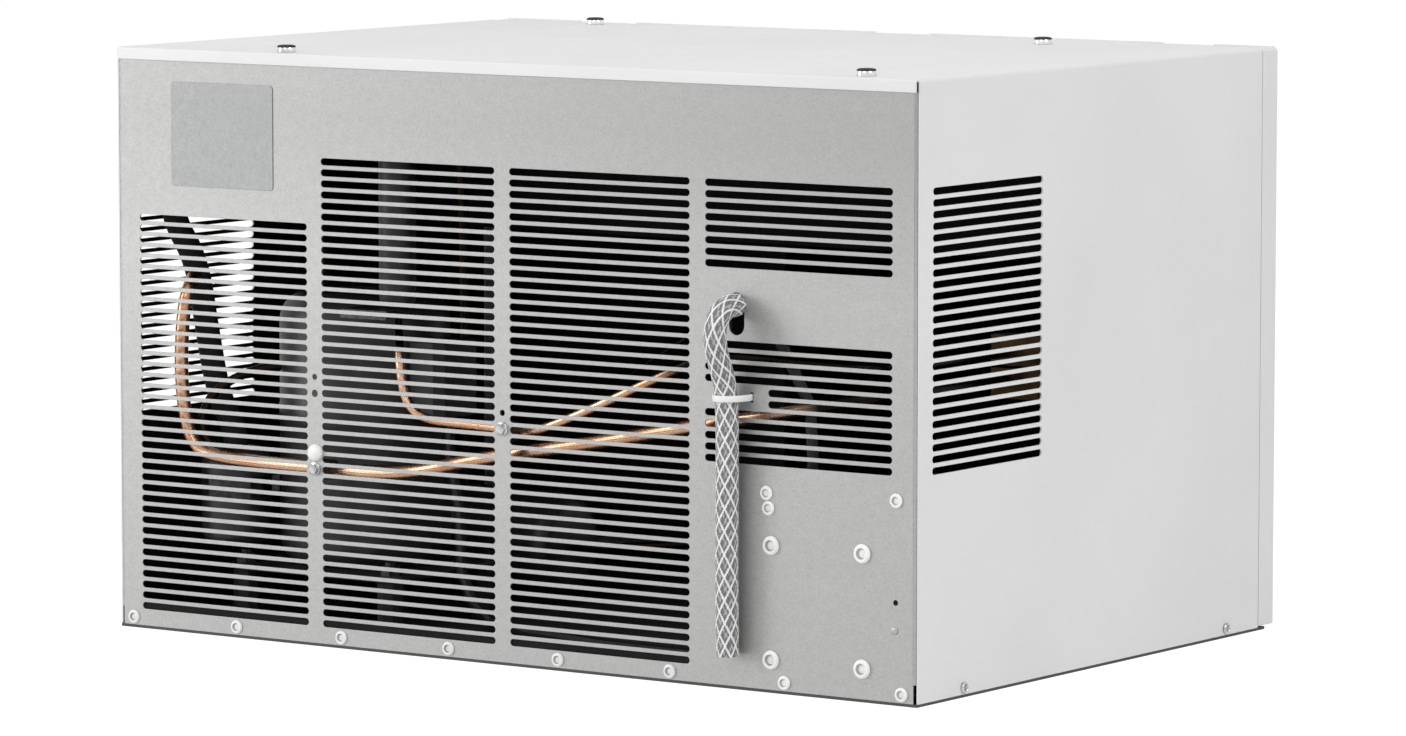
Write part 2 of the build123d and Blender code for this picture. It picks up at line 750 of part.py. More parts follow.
def terminal_cover():
    """Moulded cap over the compressor's terminals, on the shell's flank."""
    x = comp_x + comp_radius - 3
    cap = block((x, x + terminal_reach), (comp_y - terminal_half, comp_y + terminal_half), terminal_z)
    cap = chamfer(cap.edges().filter_by(Axis.Z).sort_by(Axis.X)[-2:], 6)
    return cap - Pos(comp_x, comp_y, sum(terminal_z) / 2) * Cylinder(comp_radius + soft_gap, 80)


def accumulator():
    """Suction accumulator: a slim can strapped beside the shell."""
    low, high = accumulator_z
    x, y = accumulator_centre()
    return Pos(x, y, low) * can(accumulator_radius, high - low, 7)


def accumulator_strap():
    """Band round the accumulator, its ends turned out to a saddle on the shell."""
    inner = accumulator_radius + soft_gap
    reach = comp_radius + accumulator_gap + accumulator_radius
    band = RegularPolygon(inner + strap_sheet, 16, major_radius=False)
    band += Pos(inner + accumulator_gap / 2, 0) * Rectangle(accumulator_gap + 4, strap_width)
    band -= RegularPolygon(inner, 16, major_radius=False)
    band -= Pos(reach, 0) * Circle(comp_radius + soft_gap)
    x, y = accumulator_centre()
    z = sum(accumulator_z) / 2
    return Pos(x, y, z) * Rot(0, 0, accumulator_turn - 180) * extrude(band, strap_width)


def process_stub():
    """Pinched charging stub that stands on the shell's crown."""
    spot = (comp_x - 0.3 * comp_radius, comp_y - 0.4 * comp_radius)
    return bar((*spot, comp_top), (*spot, comp_top + 42), process_radius, 6)


# ---- Receiver and drier ---------------------------------------------------------------------
def receiver_axis():
    return pan_sheet + receiver_lift + receiver_radius


def receiver_tank():
    x, y = receiver_centre
    body = Rot(0, 90, 0) * Rot(0, 0, 9) * can(receiver_radius, receiver_length, 12)
    return Pos(x - receiver_length / 2, y, receiver_axis()) * body


def receiver_feet():
    """Two saddles that carry the tank."""
    x, y = receiver_centre
    feet = []
    for side in (-1, 1):
        spot = x + side * receiver_length * 0.28
        foot = block((spot - 12, spot + 12), (y - 34, y + 34), (pan_sheet, receiver_axis() - 8))
        ends = (spot - 20, y, receiver_axis()), (spot + 20, y, receiver_axis())
        feet.append(foot - bar(*ends, receiver_radius + 2 * soft_gap, 20))
    return feet


def filter_drier():
    x, y = drier_place
    low, high = drier_z
    return Pos(x, y, low) * can(drier_radius, high - low, 8)


def drier_bracket():
    """Angle bracket on the rear panel whose shelf carries the drier."""
    x, y = drier_place
    top = drier_z[0]
    shelf = block(shelf_x, (rear_inner, y + drier_radius), (top - shelf_sheet, top))
    shelf -= bar((x, y, top - 2 * shelf_sheet), (x, y, top + shelf_sheet), liquid_size / 2 + soft_gap)
    flange = block(shelf_x, (rear_inner, rear_inner + shelf_sheet), (top - shelf_drop, top))
    return shelf + flange


# ---- Refrigerant lines ----------------------------------------------------------------------
def suction_tube():
    """From the suction valve along the rear panel, through the first clip, into the foam line."""
    y = tube_y
    x, z = clip_points[0]
    valve = (valve_x[0] + suction_size, valve_y[0], valve_z[0] + 12)
    points = [(-290.4, -190.9, 244.6), (-284.0, -205.0, 240.0), (-285.5, y, 218.0), (-287.5, y, 170.0),
              (-279.5, y, 130.0), (-257.0, y, 120.6), (x, y, z - 1.4), (-97.0, y, 119.5), (-18.0, y, 138.4),
              (60.0, y, 151.4), (157.0, y, 171.1), (258.0, y, 190.4), (286.0, y + 9, valve[2] - 0.6),
              (valve[0], y + 34, valve[2]), valve]
    return line_tube(points, suction_size)


def liquid_tube():
    """From the drier down through the second clip and along the rear panel to the liquid valve."""
    y = tube_y
    x, z = clip_points[1]
    drier_x, drier_y = drier_place
    valve = (valve_x[0] + suction_size, valve_y[0], valve_z[1] - 12)
    points = [(drier_x, drier_y, drier_z[0]), (drier_x, drier_y, drier_z[0] - 14), (-98.5, y + 1.5, 204.0),
              (-96.0, y, 186.0), (-92.0, y, 170.0), (-79.0, y, 159.2), (-40.0, y, 157.9), (x, y, z - 2.0),
              (22.0, y, 157.0), (142.0, y, 210.4), (160.0, y, 217.6), (255.0, y, 214.6), (288.0, y + 7, valve[2] + 0.6),
              (valve[0], y + 30, valve[2]), valve]
    return line_tube(points, liquid_size)


def discharge_tube():
    """From the compressor's flank, down behind the suction line, then forward to the coil."""
    y = tube_y + suction_size / 2 + liquid_size / 2 + 2 * clip_sheet
    out = Vector(cos(radians(232.0)), sin(radians(232.0)))
    flank = Vector(comp_x, comp_y, 182.0) + out * (comp_radius + touch_gap)
    bend = flank + out * 13
    coil_y = coil_rear + coil_depth / 2
    points = [tuple(flank), tuple(bend), (-263.0, y + 5, 171.0), (-275.0, y, 156.0), (-279.0, y, 138.0),
              (-266.0, y, 123.6), (-222.0, y, 120.4), (-158.0, y, 119.6), (-104.0, y, 121.0), (-70.0, -178.0, 126.0),
              (-42.0, -110.0, 150.0), (-20.0, -10.0, 196.0), (-12.0, 74.0, 222.0), (4.0, coil_y, coil_rows()[-1]),
              (coil_x[0] - end_plate, coil_y, coil_rows()[-1])]
    return line_tube(points, liquid_size, 6)


def insulated_suction():
    """Suction line in black foam, from the upper valve down into the accumulator."""
    x, y = accumulator_centre()
    top_x = -cover_inner + upper_valve_size[0] / 2 + 8
    top_y = rear_inner + upper_valve_size[1] - foam_size
    points = [(x, y, accumulator_z[1]), (x, y, accumulator_z[1] + 12), (-281.0, -180.0, 160.0),
              (-293.0, -181.0, 206.0), (-303.0, -182.0, 254.0), (top_x, top_y, upper_valve_z - 20),
              (top_x, top_y, upper_valve_z)]
    return line_tube(points, foam_size, 12)


def receiver_tubes():
    """Liquid path: coil to receiver, and receiver to the top of the drier."""
    x, y = receiver_centre
    drier_x, drier_y = drier_place
    top = drier_z[1]
    coil_y = coil_rear + coil_depth / 2
    tank_top = receiver_axis() + receiver_radius * cos(pi / 20)
    low = coil_rows()[0]
    inlet = line_tube([(coil_x[0] - end_plate, coil_y, low), (8.0, coil_y, low), (-40.0, coil_y - 40, low - 2),
                       (-92.0, y, receiver_axis()), (x + receiver_length / 2, y, receiver_axis())], liquid_size, 6)
    outlet = line_tube([(drier_x, drier_y, top), (drier_x, drier_y, top + 14), (drier_x - 8, drier_y + 26, top + 24),
                        (-160.0, -60.0, top + 22), (x + 4, y - 26, top + 10), (x, y, top - 24), (x, y, tank_top)],
                       liquid_size, 6)
    return [inlet, outlet]


def line_valves():
    """Brass service valves: two on the right wall, one behind the upper left of the rear panel."""
    stem = 3.5
    bodies = []
    middle = sum(valve_z) / 2
    for low, high in ((valve_z[0], middle - 1), (middle + 1, valve_z[1])):
        body = block((valve_x[0], cover_inner), valve_y, (low, high))
        centre = (sum(valve_x) / 2, valve_y[1], (low + high) / 2)
        body += bar(centre, (centre[0], centre[1] + 12, centre[2]), 2 * stem, 6)
        bodies.append(body)
    across, deep, tall = upper_valve_size
    x = -cover_inner + across / 2 + 8
    upper = block((x - across / 2, x + across / 2), (rear_inner, rear_inner + deep),
                  (upper_valve_z, upper_valve_z + tall))
    top = (x, rear_inner + deep / 2, upper_valve_z + tall)
    bodies.append(upper + bar(top, (top[0], top[1], top[2] + 10), 2 * stem, 6))
    return bodies


# ---- Electrical box on the rear panel -------------------------------------------------------
def electrical_box():
    """Open tray against the rear panel; the loom enters through its top."""
    y = (rear_inner, rear_inner + box_y)
    shell = block(box_x, y, box_z)
    inside = [(low + box_sheet, high - box_sheet) for low, high in (box_x, y, box_z)]
    shell -= block(inside[0], (inside[1][0], y[1] + 1), inside[2])
    inlet = Pos(loom_entry, y[0] + box_y / 2, box_z[1]) * Cylinder(loom_size / 2 + 1, 10)
    return shell - inlet


def electrical_lid():
    y = rear_inner + box_y
    return block(box_x, (y, y + box_sheet), box_z)


def run_capacitor():
    x = box_x[0] + 26
    y = rear_inner + box_sheet + 18
    low = box_z[0] + box_sheet
    return Pos(x, y, low) * extrude(RegularPolygon(18, 20), 64)


def start_relay():
    y = rear_inner + box_sheet
    return block((box_x[1] - 50, box_x[1] - 14), (y, y + 30), (box_z[0] + 16, box_z[0] + 50))


def terminal_strip():
    y = rear_inner + box_sheet
    base = block((box_x[1] - 62, box_x[1] - 8), (y, y + 12), (box_z[0] + 66, box_z[0] + 86))
    for i in range(5):
        x = box_x[1] - 60 + i * 10.5
        base += block((x, x + 6), (y + 12, y + 18), (box_z[0] + 68, box_z[0] + 84))
    return base


def inner_harness():
    """The looms inside: cord outlet to electrical box, and box to compressor."""
    z = outlet_bottom + outlet_length / 2
    y = rear_inner + box_y / 2
    main = line_tube([(outlet_x, rear_inner, z + 4), (outlet_x, rear_inner + 12, z + 4),
                      (outlet_x + 15, y - 6, z - 14), (loom_entry - 2, y, z - 60), (loom_entry, y, box_z[1] + 20),
                      (loom_entry, y, box_z[1] - 8)], loom_size)
    x = comp_x + comp_radius + terminal_reach / 2
    low = pan_sheet + loom_size / 2 + 1
    lead = line_tube([(x, comp_y, terminal_z[0]), (x, comp_y, 122.0), (x + 9, comp_y - 1, 86.0),
                      (x + 12, comp_y - 2, 42.0), (x + 28, comp_y - 6, low + 5), (x + 80, comp_y - 14, low),
                      (30.0, -150.0, low), (120.0, -176.0, low + 4), (176.0, y, 43.0), (192.0, y, 44.0),
                      (box_x[0], y, 44.0)], loom_size)
    return [main, lead]


def outlet_grommet():
    """Edge trim round the cord outlet, on the inner face of the panel."""
    z = outlet_bottom + outlet_length / 2
    ring = slot(outlet_length + 7, outlet_width + 7, 90) - slot(outlet_length, outlet_width, 90)
    plane = Plane(origin=(outlet_x, rear_inner, z), x_dir=(1, 0, 0), z_dir=(0, -1, 0))
    return extrude(plane * ring, -3)


def pipe_clips():
    """Moulded saddles: each holds a tube to the panel behind its screw."""
    clips = []
    for (x, z), drop, size in zip(clip_points, (1.4, 2.0), (suction_size, liquid_size)):
        centre = clip_plane - rear_sheet
        bore = size / 2 + soft_gap
        ring = Pos(centre, z - drop) * RegularPolygon(bore + clip_sheet, 12, major_radius=False)
        foot = Line((0, z - 7), (0, z + 7))
        shape = make_hull(ring.edges() + foot.edges())
        shape -= Pos(centre, z - drop) * RegularPolygon(bore, 12, major_radius=False)
        plane = Plane(origin=(x - clip_width / 2, rear_inner, 0), x_dir=(0, 1, 0), z_dir=(1, 0, 0))
        clip = extrude(plane * shape, clip_width)
        hole = bar((x, rear_y, z), (x, rear_y + clip_reach + soft_gap, z), clip_shank + touch_gap)
        clips.append(clip - hole)
    return clips


# ---- Build every node -----------------------------------------------------------------------
save("base_pan", base_pan())
save("rear_panel", rear_panel())
save("cover_wrap", cover_wrap())
save("front_bezel", front_bezel())
save("front_grille", front_grille())
save("acoustic_foam", acoustic_foam())
save("rear_rivets", *small_rivets())
save("box_rivets", *box_rivets())
save("blank_plate", blank_plate())
save("clip_screws", *clip_screws())
save("pipe_clips", *pipe_clips())
save("plug_button", plug_button())
save("corner_stud", corner_stud_head())
save("side_screws", *side_panel_screws())
posts, caps = bumpers()
save("bumper_posts", *posts)
save("bumper_caps", *caps)
save("harness_sleeve", sleeve())
save("cable_tie", cable_tie())
save("coil_fins", coil_fins())
save("coil_end_plates", *coil_end_plates())
save("coil_bends", *coil_bends())
save("fan_shroud", fan_shroud())
save("fan_blade", fan_blade())
save("fan_shaft", fan_shaft())
save("fan_motor", fan_motor())
save("motor_bracket", motor_bracket())
save("motor_bolts", *motor_bolts())
save("air_baffle", air_baffle())
save("compressor_shell", compressor_shell())
save("compressor_grommets", *compressor_grommets())
save("compressor_bolts", *compressor_bolts())
save("terminal_cover", terminal_cover())
save("accumulator", accumulator())
save("accumulator_strap", accumulator_strap())
save("receiver_tank", receiver_tank())
save("receiver_feet", *receiver_feet())
save("filter_drier", filter_drier())
save("drier_bracket", drier_bracket())
save("suction_tube", suction_tube())
save("liquid_tube", liquid_tube())
save("discharge_tube", discharge_tube())
save("insulated_suction", insulated_suction())
save("receiver_tubes", *receiver_tubes())
save("line_valves", *line_valves())
save("process_stub", process_stub())
save("electrical_box", electrical_box())
save("electrical_lid", electrical_lid())
save("run_capacitor", run_capacitor())
save("start_relay", start_relay())
save("terminal_strip", terminal_strip())
save("inner_harness", *inner_harness())
save("outlet_grommet", outlet_grommet())
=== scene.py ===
# %% [markdown]
# # A boxed refrigeration condensing unit
# The imported model gives every sheet, tube and fastener its place. This script dresses it: pressed
# sheets get their real obround slots and folded edges, the lines get smooth bends, the cord gets its
# braid, and every surface gets the finish of its real material, with painted shade on the parts inside
# the cabinet, in the rivets' dishes and toward the top of the service face. Lengths are in metres, as
# Blender has them, and most are written in millimetres times MM, because that is how sheet metal is
# measured.

# %% Start: the fixed frame
from math import cos, pi, radians, sin, tau

import bmesh
import bpy
from mathutils import Matrix, Vector, noise


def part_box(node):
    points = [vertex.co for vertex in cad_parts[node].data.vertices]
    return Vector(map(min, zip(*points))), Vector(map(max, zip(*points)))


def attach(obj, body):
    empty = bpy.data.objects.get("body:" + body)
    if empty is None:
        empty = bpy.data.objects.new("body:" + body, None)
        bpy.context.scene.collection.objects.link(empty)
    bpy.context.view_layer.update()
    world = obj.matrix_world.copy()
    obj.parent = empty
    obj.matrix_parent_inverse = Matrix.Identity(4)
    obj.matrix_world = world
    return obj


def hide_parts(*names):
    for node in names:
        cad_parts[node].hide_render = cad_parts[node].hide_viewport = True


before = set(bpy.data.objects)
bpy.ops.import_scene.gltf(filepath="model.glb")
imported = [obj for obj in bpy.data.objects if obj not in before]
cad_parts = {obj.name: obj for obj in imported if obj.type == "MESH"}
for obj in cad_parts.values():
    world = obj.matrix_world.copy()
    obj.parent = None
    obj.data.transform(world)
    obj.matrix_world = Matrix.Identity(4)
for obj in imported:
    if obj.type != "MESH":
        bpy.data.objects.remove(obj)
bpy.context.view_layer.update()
MM = 0.001


def linked(name, data):
    """An object for some data, put into the scene."""
    piece = bpy.data.objects.new(name, data)
    bpy.context.scene.collection.objects.link(piece)
    return piece


print("nodes in the frame:", len(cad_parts))

# %% [markdown]
# The camera comes first, because it decides what has to look right from close by. It stands a little
# under five metres away with a long lens, so that the cabinet's edges stay almost parallel, as in a
# catalogue picture. Its matrix is built from the three turns of a camera's head.

# %% Camera
CAMERA_PLACE = Vector((2.71618, -3.89436, 0.67060))
CAMERA_YAW = radians(34.8402)
CAMERA_TILT = radians(5.89185)
CAMERA_ROLL = radians(0.01443)

lens = bpy.data.cameras.new("camera")
lens.sensor_width = 36.0
lens.lens = 176.49
lens.clip_end = 60.0
camera = linked("camera", lens)
camera.matrix_world = (
    Matrix.Translation(CAMERA_PLACE)
    @ Matrix.Rotation(CAMERA_YAW, 4, "Z")
    @ Matrix.Rotation(pi / 2 - CAMERA_TILT, 4, "X")
    @ Matrix.Rotation(CAMERA_ROLL, 4, "Z")
)
bpy.context.scene.camera = camera
bpy.context.scene.view_settings.view_transform = "Standard"
print("camera", round(CAMERA_PLACE.length, 2), "m from the origin, lens", round(lens.lens, 1), "mm")

# %% [markdown]
# Before any piece, five places that many pieces share: the service face at the back, the casing's
# half width, its top, the seam in front and the lower edge of the sheets. They are read from the
# frame, so they can't drift. The two thicknesses of sheet are the solid model's own.

# %% Shared places
REAR_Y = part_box("rear_panel")[0][1]
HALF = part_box("cover_wrap")[1][0]
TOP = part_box("cover_wrap")[1][2]
SEAM_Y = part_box("cover_wrap")[1][1]
PAN_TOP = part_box("rear_panel")[0][2]
SHEET = 1.2 * MM
REAR_SHEET = 1.0 * MM
print("casing", round(2 * HALF, 4), "wide,", round(TOP, 4), "high")

# %% [markdown]
# A material is a small tree of nodes. One helper adds a node, sets its values and joins its inputs,
# and one turns a colour written as sRGB hex, as a paint chart gives it, into the linear numbers that
# a renderer works with. The others start a material, add its noises and close it.

# %% Material helpers


def colour(text):
    """A linear colour from sRGB hex."""
    channels = [int(text[i:i + 2], 16) / 255 for i in (1, 3, 5)]
    linear = [c / 12.92 if c <= 0.04045 else ((c + 0.055) / 1.055) ** 2.4 for c in channels]
    return (*linear, 1.0)


def add(tree, kind, settings=None, links=None):
    """Adds a node. Settings are inputs or properties by name, links are sockets by input."""
    node = tree.nodes.new(kind)
    for name, value in (settings or {}).items():
        if name in node.inputs:
            node.inputs[name].default_value = value
        else:
            setattr(node, name, value)
    for name, socket in (links or {}).items():
        tree.links.new(socket, node.inputs[name])
    return node


def start_material(name):
    """A material with an empty tree and its object-space coordinates."""
    material = bpy.data.materials.new(name)
    material.use_nodes = True
    tree = material.node_tree
    tree.nodes.clear()
    place = add(tree, "ShaderNodeTexCoord").outputs["Object"]
    return material, tree, place


def per_size(millimetres):
    """The scale of a texture whose grains are that size, for coordinates in metres."""
    return 1.0 / (millimetres * MM)


def grains(tree, place, millimetres, detail, roughness=0.5):
    """A noise whose grains are that size."""
    settings = {"Scale": per_size(millimetres), "Detail": detail, "Roughness": roughness}
    return add(tree, "ShaderNodeTexNoise", settings, {"Vector": place}).outputs["Fac"]


def close_material(material, shader):
    """Joins a shader to the material's output."""
    add(material.node_tree, "ShaderNodeOutputMaterial", links={"Surface": shader.outputs[0]})
    return material


def with_surface(material, settings, links):
    """The material, finished with one surface shader."""
    return close_material(material, add(material.node_tree, "ShaderNodeBsdfPrincipled", settings, links))


print("a mid grey of #808080 is", round(colour("#808080")[0], 3), "in linear light")

# %% [markdown]
# Between a noise and the surface stand a few small steps that most materials share: two colours
# mixed by a noise or along an axis, a roughness that wanders, and relief. Relief can start from a
# bevelled normal, which softens the edges that a plain solid has.

# %% Mixing and relief


def blend_colours(tree, factor, low, high, start=0.35, end=0.65):
    """Two colours mixed by a noise, with the noise's middle stretched."""
    ramp = add(tree, "ShaderNodeValToRGB", links={"Fac": factor})
    ramp.color_ramp.elements[0].position = start
    ramp.color_ramp.elements[0].color = colour(low)
    ramp.color_ramp.elements[1].position = end
    ramp.color_ramp.elements[1].color = colour(high)
    return ramp.outputs["Color"]


def mix_colours(tree, factor, first, second):
    """Two colours mixed by a factor, each given as a socket or as sRGB hex."""
    node = add(tree, "ShaderNodeMix", {"data_type": "RGBA"}, {"Factor": factor})
    for index, tone in ((6, first), (7, second)):
        if isinstance(tone, str):
            node.inputs[index].default_value = colour(tone)
        else:
            tree.links.new(tone, node.inputs[index])
    return node.outputs[2]


def along_axis(tree, place, axis, start, end, most=1.0):
    """A factor that rises from 0 to its most between two places on an axis, in mm."""
    spot = add(tree, "ShaderNodeSeparateXYZ", links={"Vector": place}).outputs[axis]
    settings = {"From Min": start * MM, "From Max": end * MM, "To Max": most}
    return add(tree, "ShaderNodeMapRange", settings, {"Value": spot}).outputs["Result"]


def bumps(tree, heights, strength, depth, soft_edge=0.0):
    """A bump from a height, over edges softened by that radius."""
    links = {"Height": heights}
    if soft_edge:
        edge = add(tree, "ShaderNodeBevel", {"Radius": soft_edge, "samples": 4})
        links["Normal"] = edge.outputs["Normal"]
    return add(tree, "ShaderNodeBump", {"Strength": strength, "Distance": depth}, links).outputs["Normal"]


def rough_range(tree, factor, low, high):
    """A roughness that wanders between two values."""
    settings = {"From Min": 0.3, "From Max": 0.7, "To Min": low, "To Max": high}
    return add(tree, "ShaderNodeMapRange", settings, {"Value": factor}).outputs["Result"]


print("materials so far:", len(bpy.data.materials), "as these cells only define helpers")

# %% [markdown]
# Powder coat is baked paint: it lies as a thin, slightly pebbled skin, which painters call orange
# peel. A noise of about one and a half millimetres gives that pebble to the bump, a much larger one
# keeps the white from being dead even, and the IOR is that of a polyester resin.

# %% White powder coat


def powder_coat(name, low, high, rough):
    material, tree, place = start_material(name)
    broad = grains(tree, place, 180, 3.0)
    peel = grains(tree, place, 1.6, 2.0)
    dust = grains(tree, place, 14, 5.0)
    return with_surface(material, {"IOR": 1.52}, {
        "Base Color": blend_colours(tree, broad, low, high),
        "Roughness": rough_range(tree, dust, rough - 0.05, rough + 0.05),
        "Normal": bumps(tree, peel, 0.10, 0.12 * MM, 0.4 * MM),
    })


white_coat = powder_coat("white_polyester_powder_coat", "#DDDDDD", "#E2E2E2", 0.5)
print("coat:", white_coat.name)

# %% [markdown]
# Galvanised sheet is steel dipped in zinc and then rolled: a grey metal, far from a mirror, with a
# fine mottle where the zinc crystals lie. Two noises make the mottle, a fine one of a millimetre or
# two and a coarser one for the spangle; both move the grey and the roughness together, because a
# brighter crystal is also a smoother one. Toward the top fold the grey is painted a little darker:
# this is painted shade, standing in for less light falling there.

# %% Galvanised sheet
SHADE_FROM, SHADE_TO = 260, 360     # heights in mm between which painted shade darkens the grey
SHADE_MOST = 0.35


def galvanised_sheet(name, low, high, top_shade, metal, rough):
    material, tree, place = start_material(name)
    fine = grains(tree, place, 1.7, 4.0, 0.7)
    crystal = add(tree, "ShaderNodeTexVoronoi", {"Scale": per_size(6.0)}, {"Vector": place})
    mottle = add(tree, "ShaderNodeMix", {"data_type": "FLOAT", "Factor": 0.12},
                 {"A": fine, "B": crystal.outputs["Distance"]})
    base = blend_colours(tree, mottle.outputs["Result"], low, high, 0.3, 0.7)
    # painted shade: the grey is darkened towards the top, where less light falls
    painted_shade = along_axis(tree, place, "Z", SHADE_FROM, SHADE_TO, SHADE_MOST)
    return with_surface(material, {"Metallic": metal}, {
        "Base Color": mix_colours(tree, painted_shade, base, top_shade),
        "Roughness": rough_range(tree, mottle.outputs["Result"], rough + 0.06, rough - 0.06),
        "Normal": bumps(tree, fine, 0.08, 0.05 * MM, 0.3 * MM),
    })


zinc_sheet = galvanised_sheet("hot_dip_galvanised_steel", "#9C9C9B", "#AFAFAE", "#7E7E7E", 0.75, 0.46)
plate_metal = galvanised_sheet("anodised_aluminium_plate", "#8E8F8F", "#9B9C9C", "#848484", 0.75, 0.5)
print("sheets:", zinc_sheet.name, plate_metal.name)

# %% [markdown]
# Drawn copper tube leaves the die bright and warms to brown in the air. A noise of low frequency
# gives soft brown clouds of a few centimetres, and a fine one the tarnish specks. Where a line runs
# into the dark of the cabinet, painted shade fades its colour to near black between two places along an
# axis.

# %% Copper and brass
# the near black of painted shade, for line ends that run deep into the cabinet
END_SHADE = "#1C1714"


def drawn_metal(name, bright, dull, rough, cloud_mm, shaded_spans=()):
    material, tree, place = start_material(name)
    cloud = grains(tree, place, cloud_mm, 4.0)
    speck = grains(tree, place, 1.2, 2.0)
    base = blend_colours(tree, cloud, dull, bright, 0.3, 0.6)
    # painted shade: the colour fades to near black past these places
    for axis, start, end in shaded_spans:
        base = mix_colours(tree, along_axis(tree, place, axis, start, end), base, END_SHADE)
    return with_surface(material, {"Metallic": 1.0}, {
        "Base Color": base,
        "Roughness": rough_range(tree, speck, rough - 0.06, rough + 0.08),
        "Normal": bumps(tree, speck, 0.05, 0.03 * MM),
    })


BRIGHT_COPPER = ("#EBBFA0", "#D09A74", 0.28, 60)
suction_copper = drawn_metal("drawn_copper_shaded_end", *BRIGHT_COPPER, [("X", 200, 246)])
liquid_copper = drawn_metal("drawn_copper_shaded_valve_end", *BRIGHT_COPPER,
                            [("X", 140, 164), ("Z", 196, 206)])
# tarnished copper, darkened further to near black as painted shade for lines deep in the cabinet
shaded_copper = drawn_metal("tarnished_copper_painted_shade", "#35291F", "#231C17", 0.42, 30)
# aged brass, darkened further as painted shade so the valves sit dark in the cabinet
brass = drawn_metal("aged_brass_painted_shade", "#4E3F28", "#33291A", 0.4, 12)
zinc_plate = drawn_metal("bright_zinc_plate", "#BEBFC0", "#8E8F91", 0.24, 5)
# painted shade: a darkened copy of zinc for bolts and straps deep in the cabinet
shaded_zinc = drawn_metal("zinc_painted_shade", "#4A4B4C", "#303132", 0.4, 5)
polished_steel = drawn_metal("polished_stainless_steel", "#E2E2E2", "#C4C5C6", 0.12, 8)
print("metals so far:", len(bpy.data.materials) - 1)

# %% [markdown]
# The dark pieces are four different things, and each takes light in its own way: baked enamel on the
# compressor is smooth with a soft shine, moulded nylon is duller, rubber is duller still, and foam
# has open pores that swallow light. One function serves them all, with the grain size, depth and
# roughness of each. The pan alone is painted paler along its lowest two millimetres.

# %% Enamel, plastics, rubber and foam


def grained(name, low, high, rough, grain_mm, depth_mm, ior=1.5, soft_edge=0.4, pale_foot=None):
    material, tree, place = start_material(name)
    grain = grains(tree, place, grain_mm, 3.0)
    broad = grains(tree, place, 30, 3.0)
    base = blend_colours(tree, broad, low, high)
    if pale_foot:
        base = mix_colours(tree, along_axis(tree, place, "Z", 1.6, 2.4), pale_foot, base)
    return with_surface(material, {"IOR": ior}, {
        "Base Color": base,
        "Roughness": rough_range(tree, grain, rough - 0.06, rough + 0.06),
        "Normal": bumps(tree, grain, 0.3, depth_mm * MM, soft_edge * MM),
    })


black_enamel = grained("black_baked_enamel", "#28282A", "#353536", 0.42, 1.2, 0.02)
# the pan is painted paler along its lowest two millimetres
pan_coat = grained("black_pan_coating", "#0D0D0E", "#161617", 0.75, 1.5, 0.04, 1.25, 0.4, "#565657")
dark_coat = grained("dark_electrocoat", "#151516", "#1E1F20", 0.5, 1.0, 0.02)
black_nylon = grained("moulded_black_nylon", "#161617", "#202021", 0.5, 0.6, 0.02)
white_nylon = grained("moulded_white_nylon", "#EDEDEC", "#F6F6F5", 0.38, 0.6, 0.01)
black_rubber = grained("moulded_rubber", "#121213", "#1C1C1C", 0.72, 0.9, 0.04)
foam_skin = grained("closed_cell_foam", "#0E0E0F", "#1A1A1A", 0.86, 1.1, 0.18)
# painted shade: a near black for sheet parts deep in the cabinet, which sit in shade
shaded_inner_sheet = grained("inner_sheet_painted_shade", "#101011", "#1A1B1C", 0.7, 1.7, 0.02, 1.25)
# painted shade: the near black of the wrap's inner faces
inner_shade_black = grained("wrap_inside_painted_shade", "#0F0F10", "#191A1A", 0.75, 1.0, 0.02, 1.25)
# painted shade: the grey that darkens a rivet's dish
dish_shade_lacquer = grained("rivet_dish_painted_shade", "#A0A0A0", "#B4B4B4", 0.3, 0.8, 0.01)
white_lacquer = grained("white_lacquered_rivet", "#ECECEB", "#F6F6F5", 0.28, 0.8, 0.01)
print("materials so far:", len(bpy.data.materials))

# %% [markdown]
# Every piece goes through the same steps: a mesh becomes an object, it gets its finish, it is hung
# on the body that carries it, and the plain solids that it stands for are hidden. One function does
# them all, so no piece can miss one.

# %% Placing a piece
SMOOTH_BELOW = radians(38)


def place(mesh, name, material, slot, nodes=(), body="cabinet", smooth=True):
    """Makes a piece from a mesh or curve and ties it to the frame."""
    piece = linked(name, mesh)
    if not mesh.materials:
        mesh.materials.append(material)
    if smooth and isinstance(mesh, bpy.types.Mesh):
        mesh.shade_smooth()
        mesh.set_sharp_from_angle(angle=SMOOTH_BELOW)
    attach(piece, body)
    if nodes:
        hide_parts(*nodes)
    return piece


def evaluated(holder):
    """The mesh that a curve or a modified mesh becomes; its object is then removed."""
    mesh = bpy.data.meshes.new_from_object(holder.evaluated_get(bpy.context.evaluated_depsgraph_get()))
    bpy.data.objects.remove(holder)
    return mesh


def mesh_from(name, build):
    """A mesh made by a function that fills a bmesh."""
    work = bmesh.new()
    build(work)
    mesh = bpy.data.meshes.new(name)
    work.to_mesh(mesh)
    work.free()
    return mesh


def quads_between(work, low, high):
    """Joins two closed rings of as many points by a band of faces."""
    for k in range(len(low)):
        after = (k + 1) % len(low)
        work.faces.new((low[k], low[after], high[after], high[k]))


print("edges sharper than", round(SMOOTH_BELOW * 180 / pi), "degrees stay sharp")

# %% [markdown]
# The cord is a bundle of wires in a woven polyester sleeve. It leaves its oval outlet straight out,
# turns down over a hand's breadth, is caught by a nylon tie and then hangs. Its line is one NURBS
# spline that runs close to listed points, the same that the solid model uses, and the weave
# follows it.

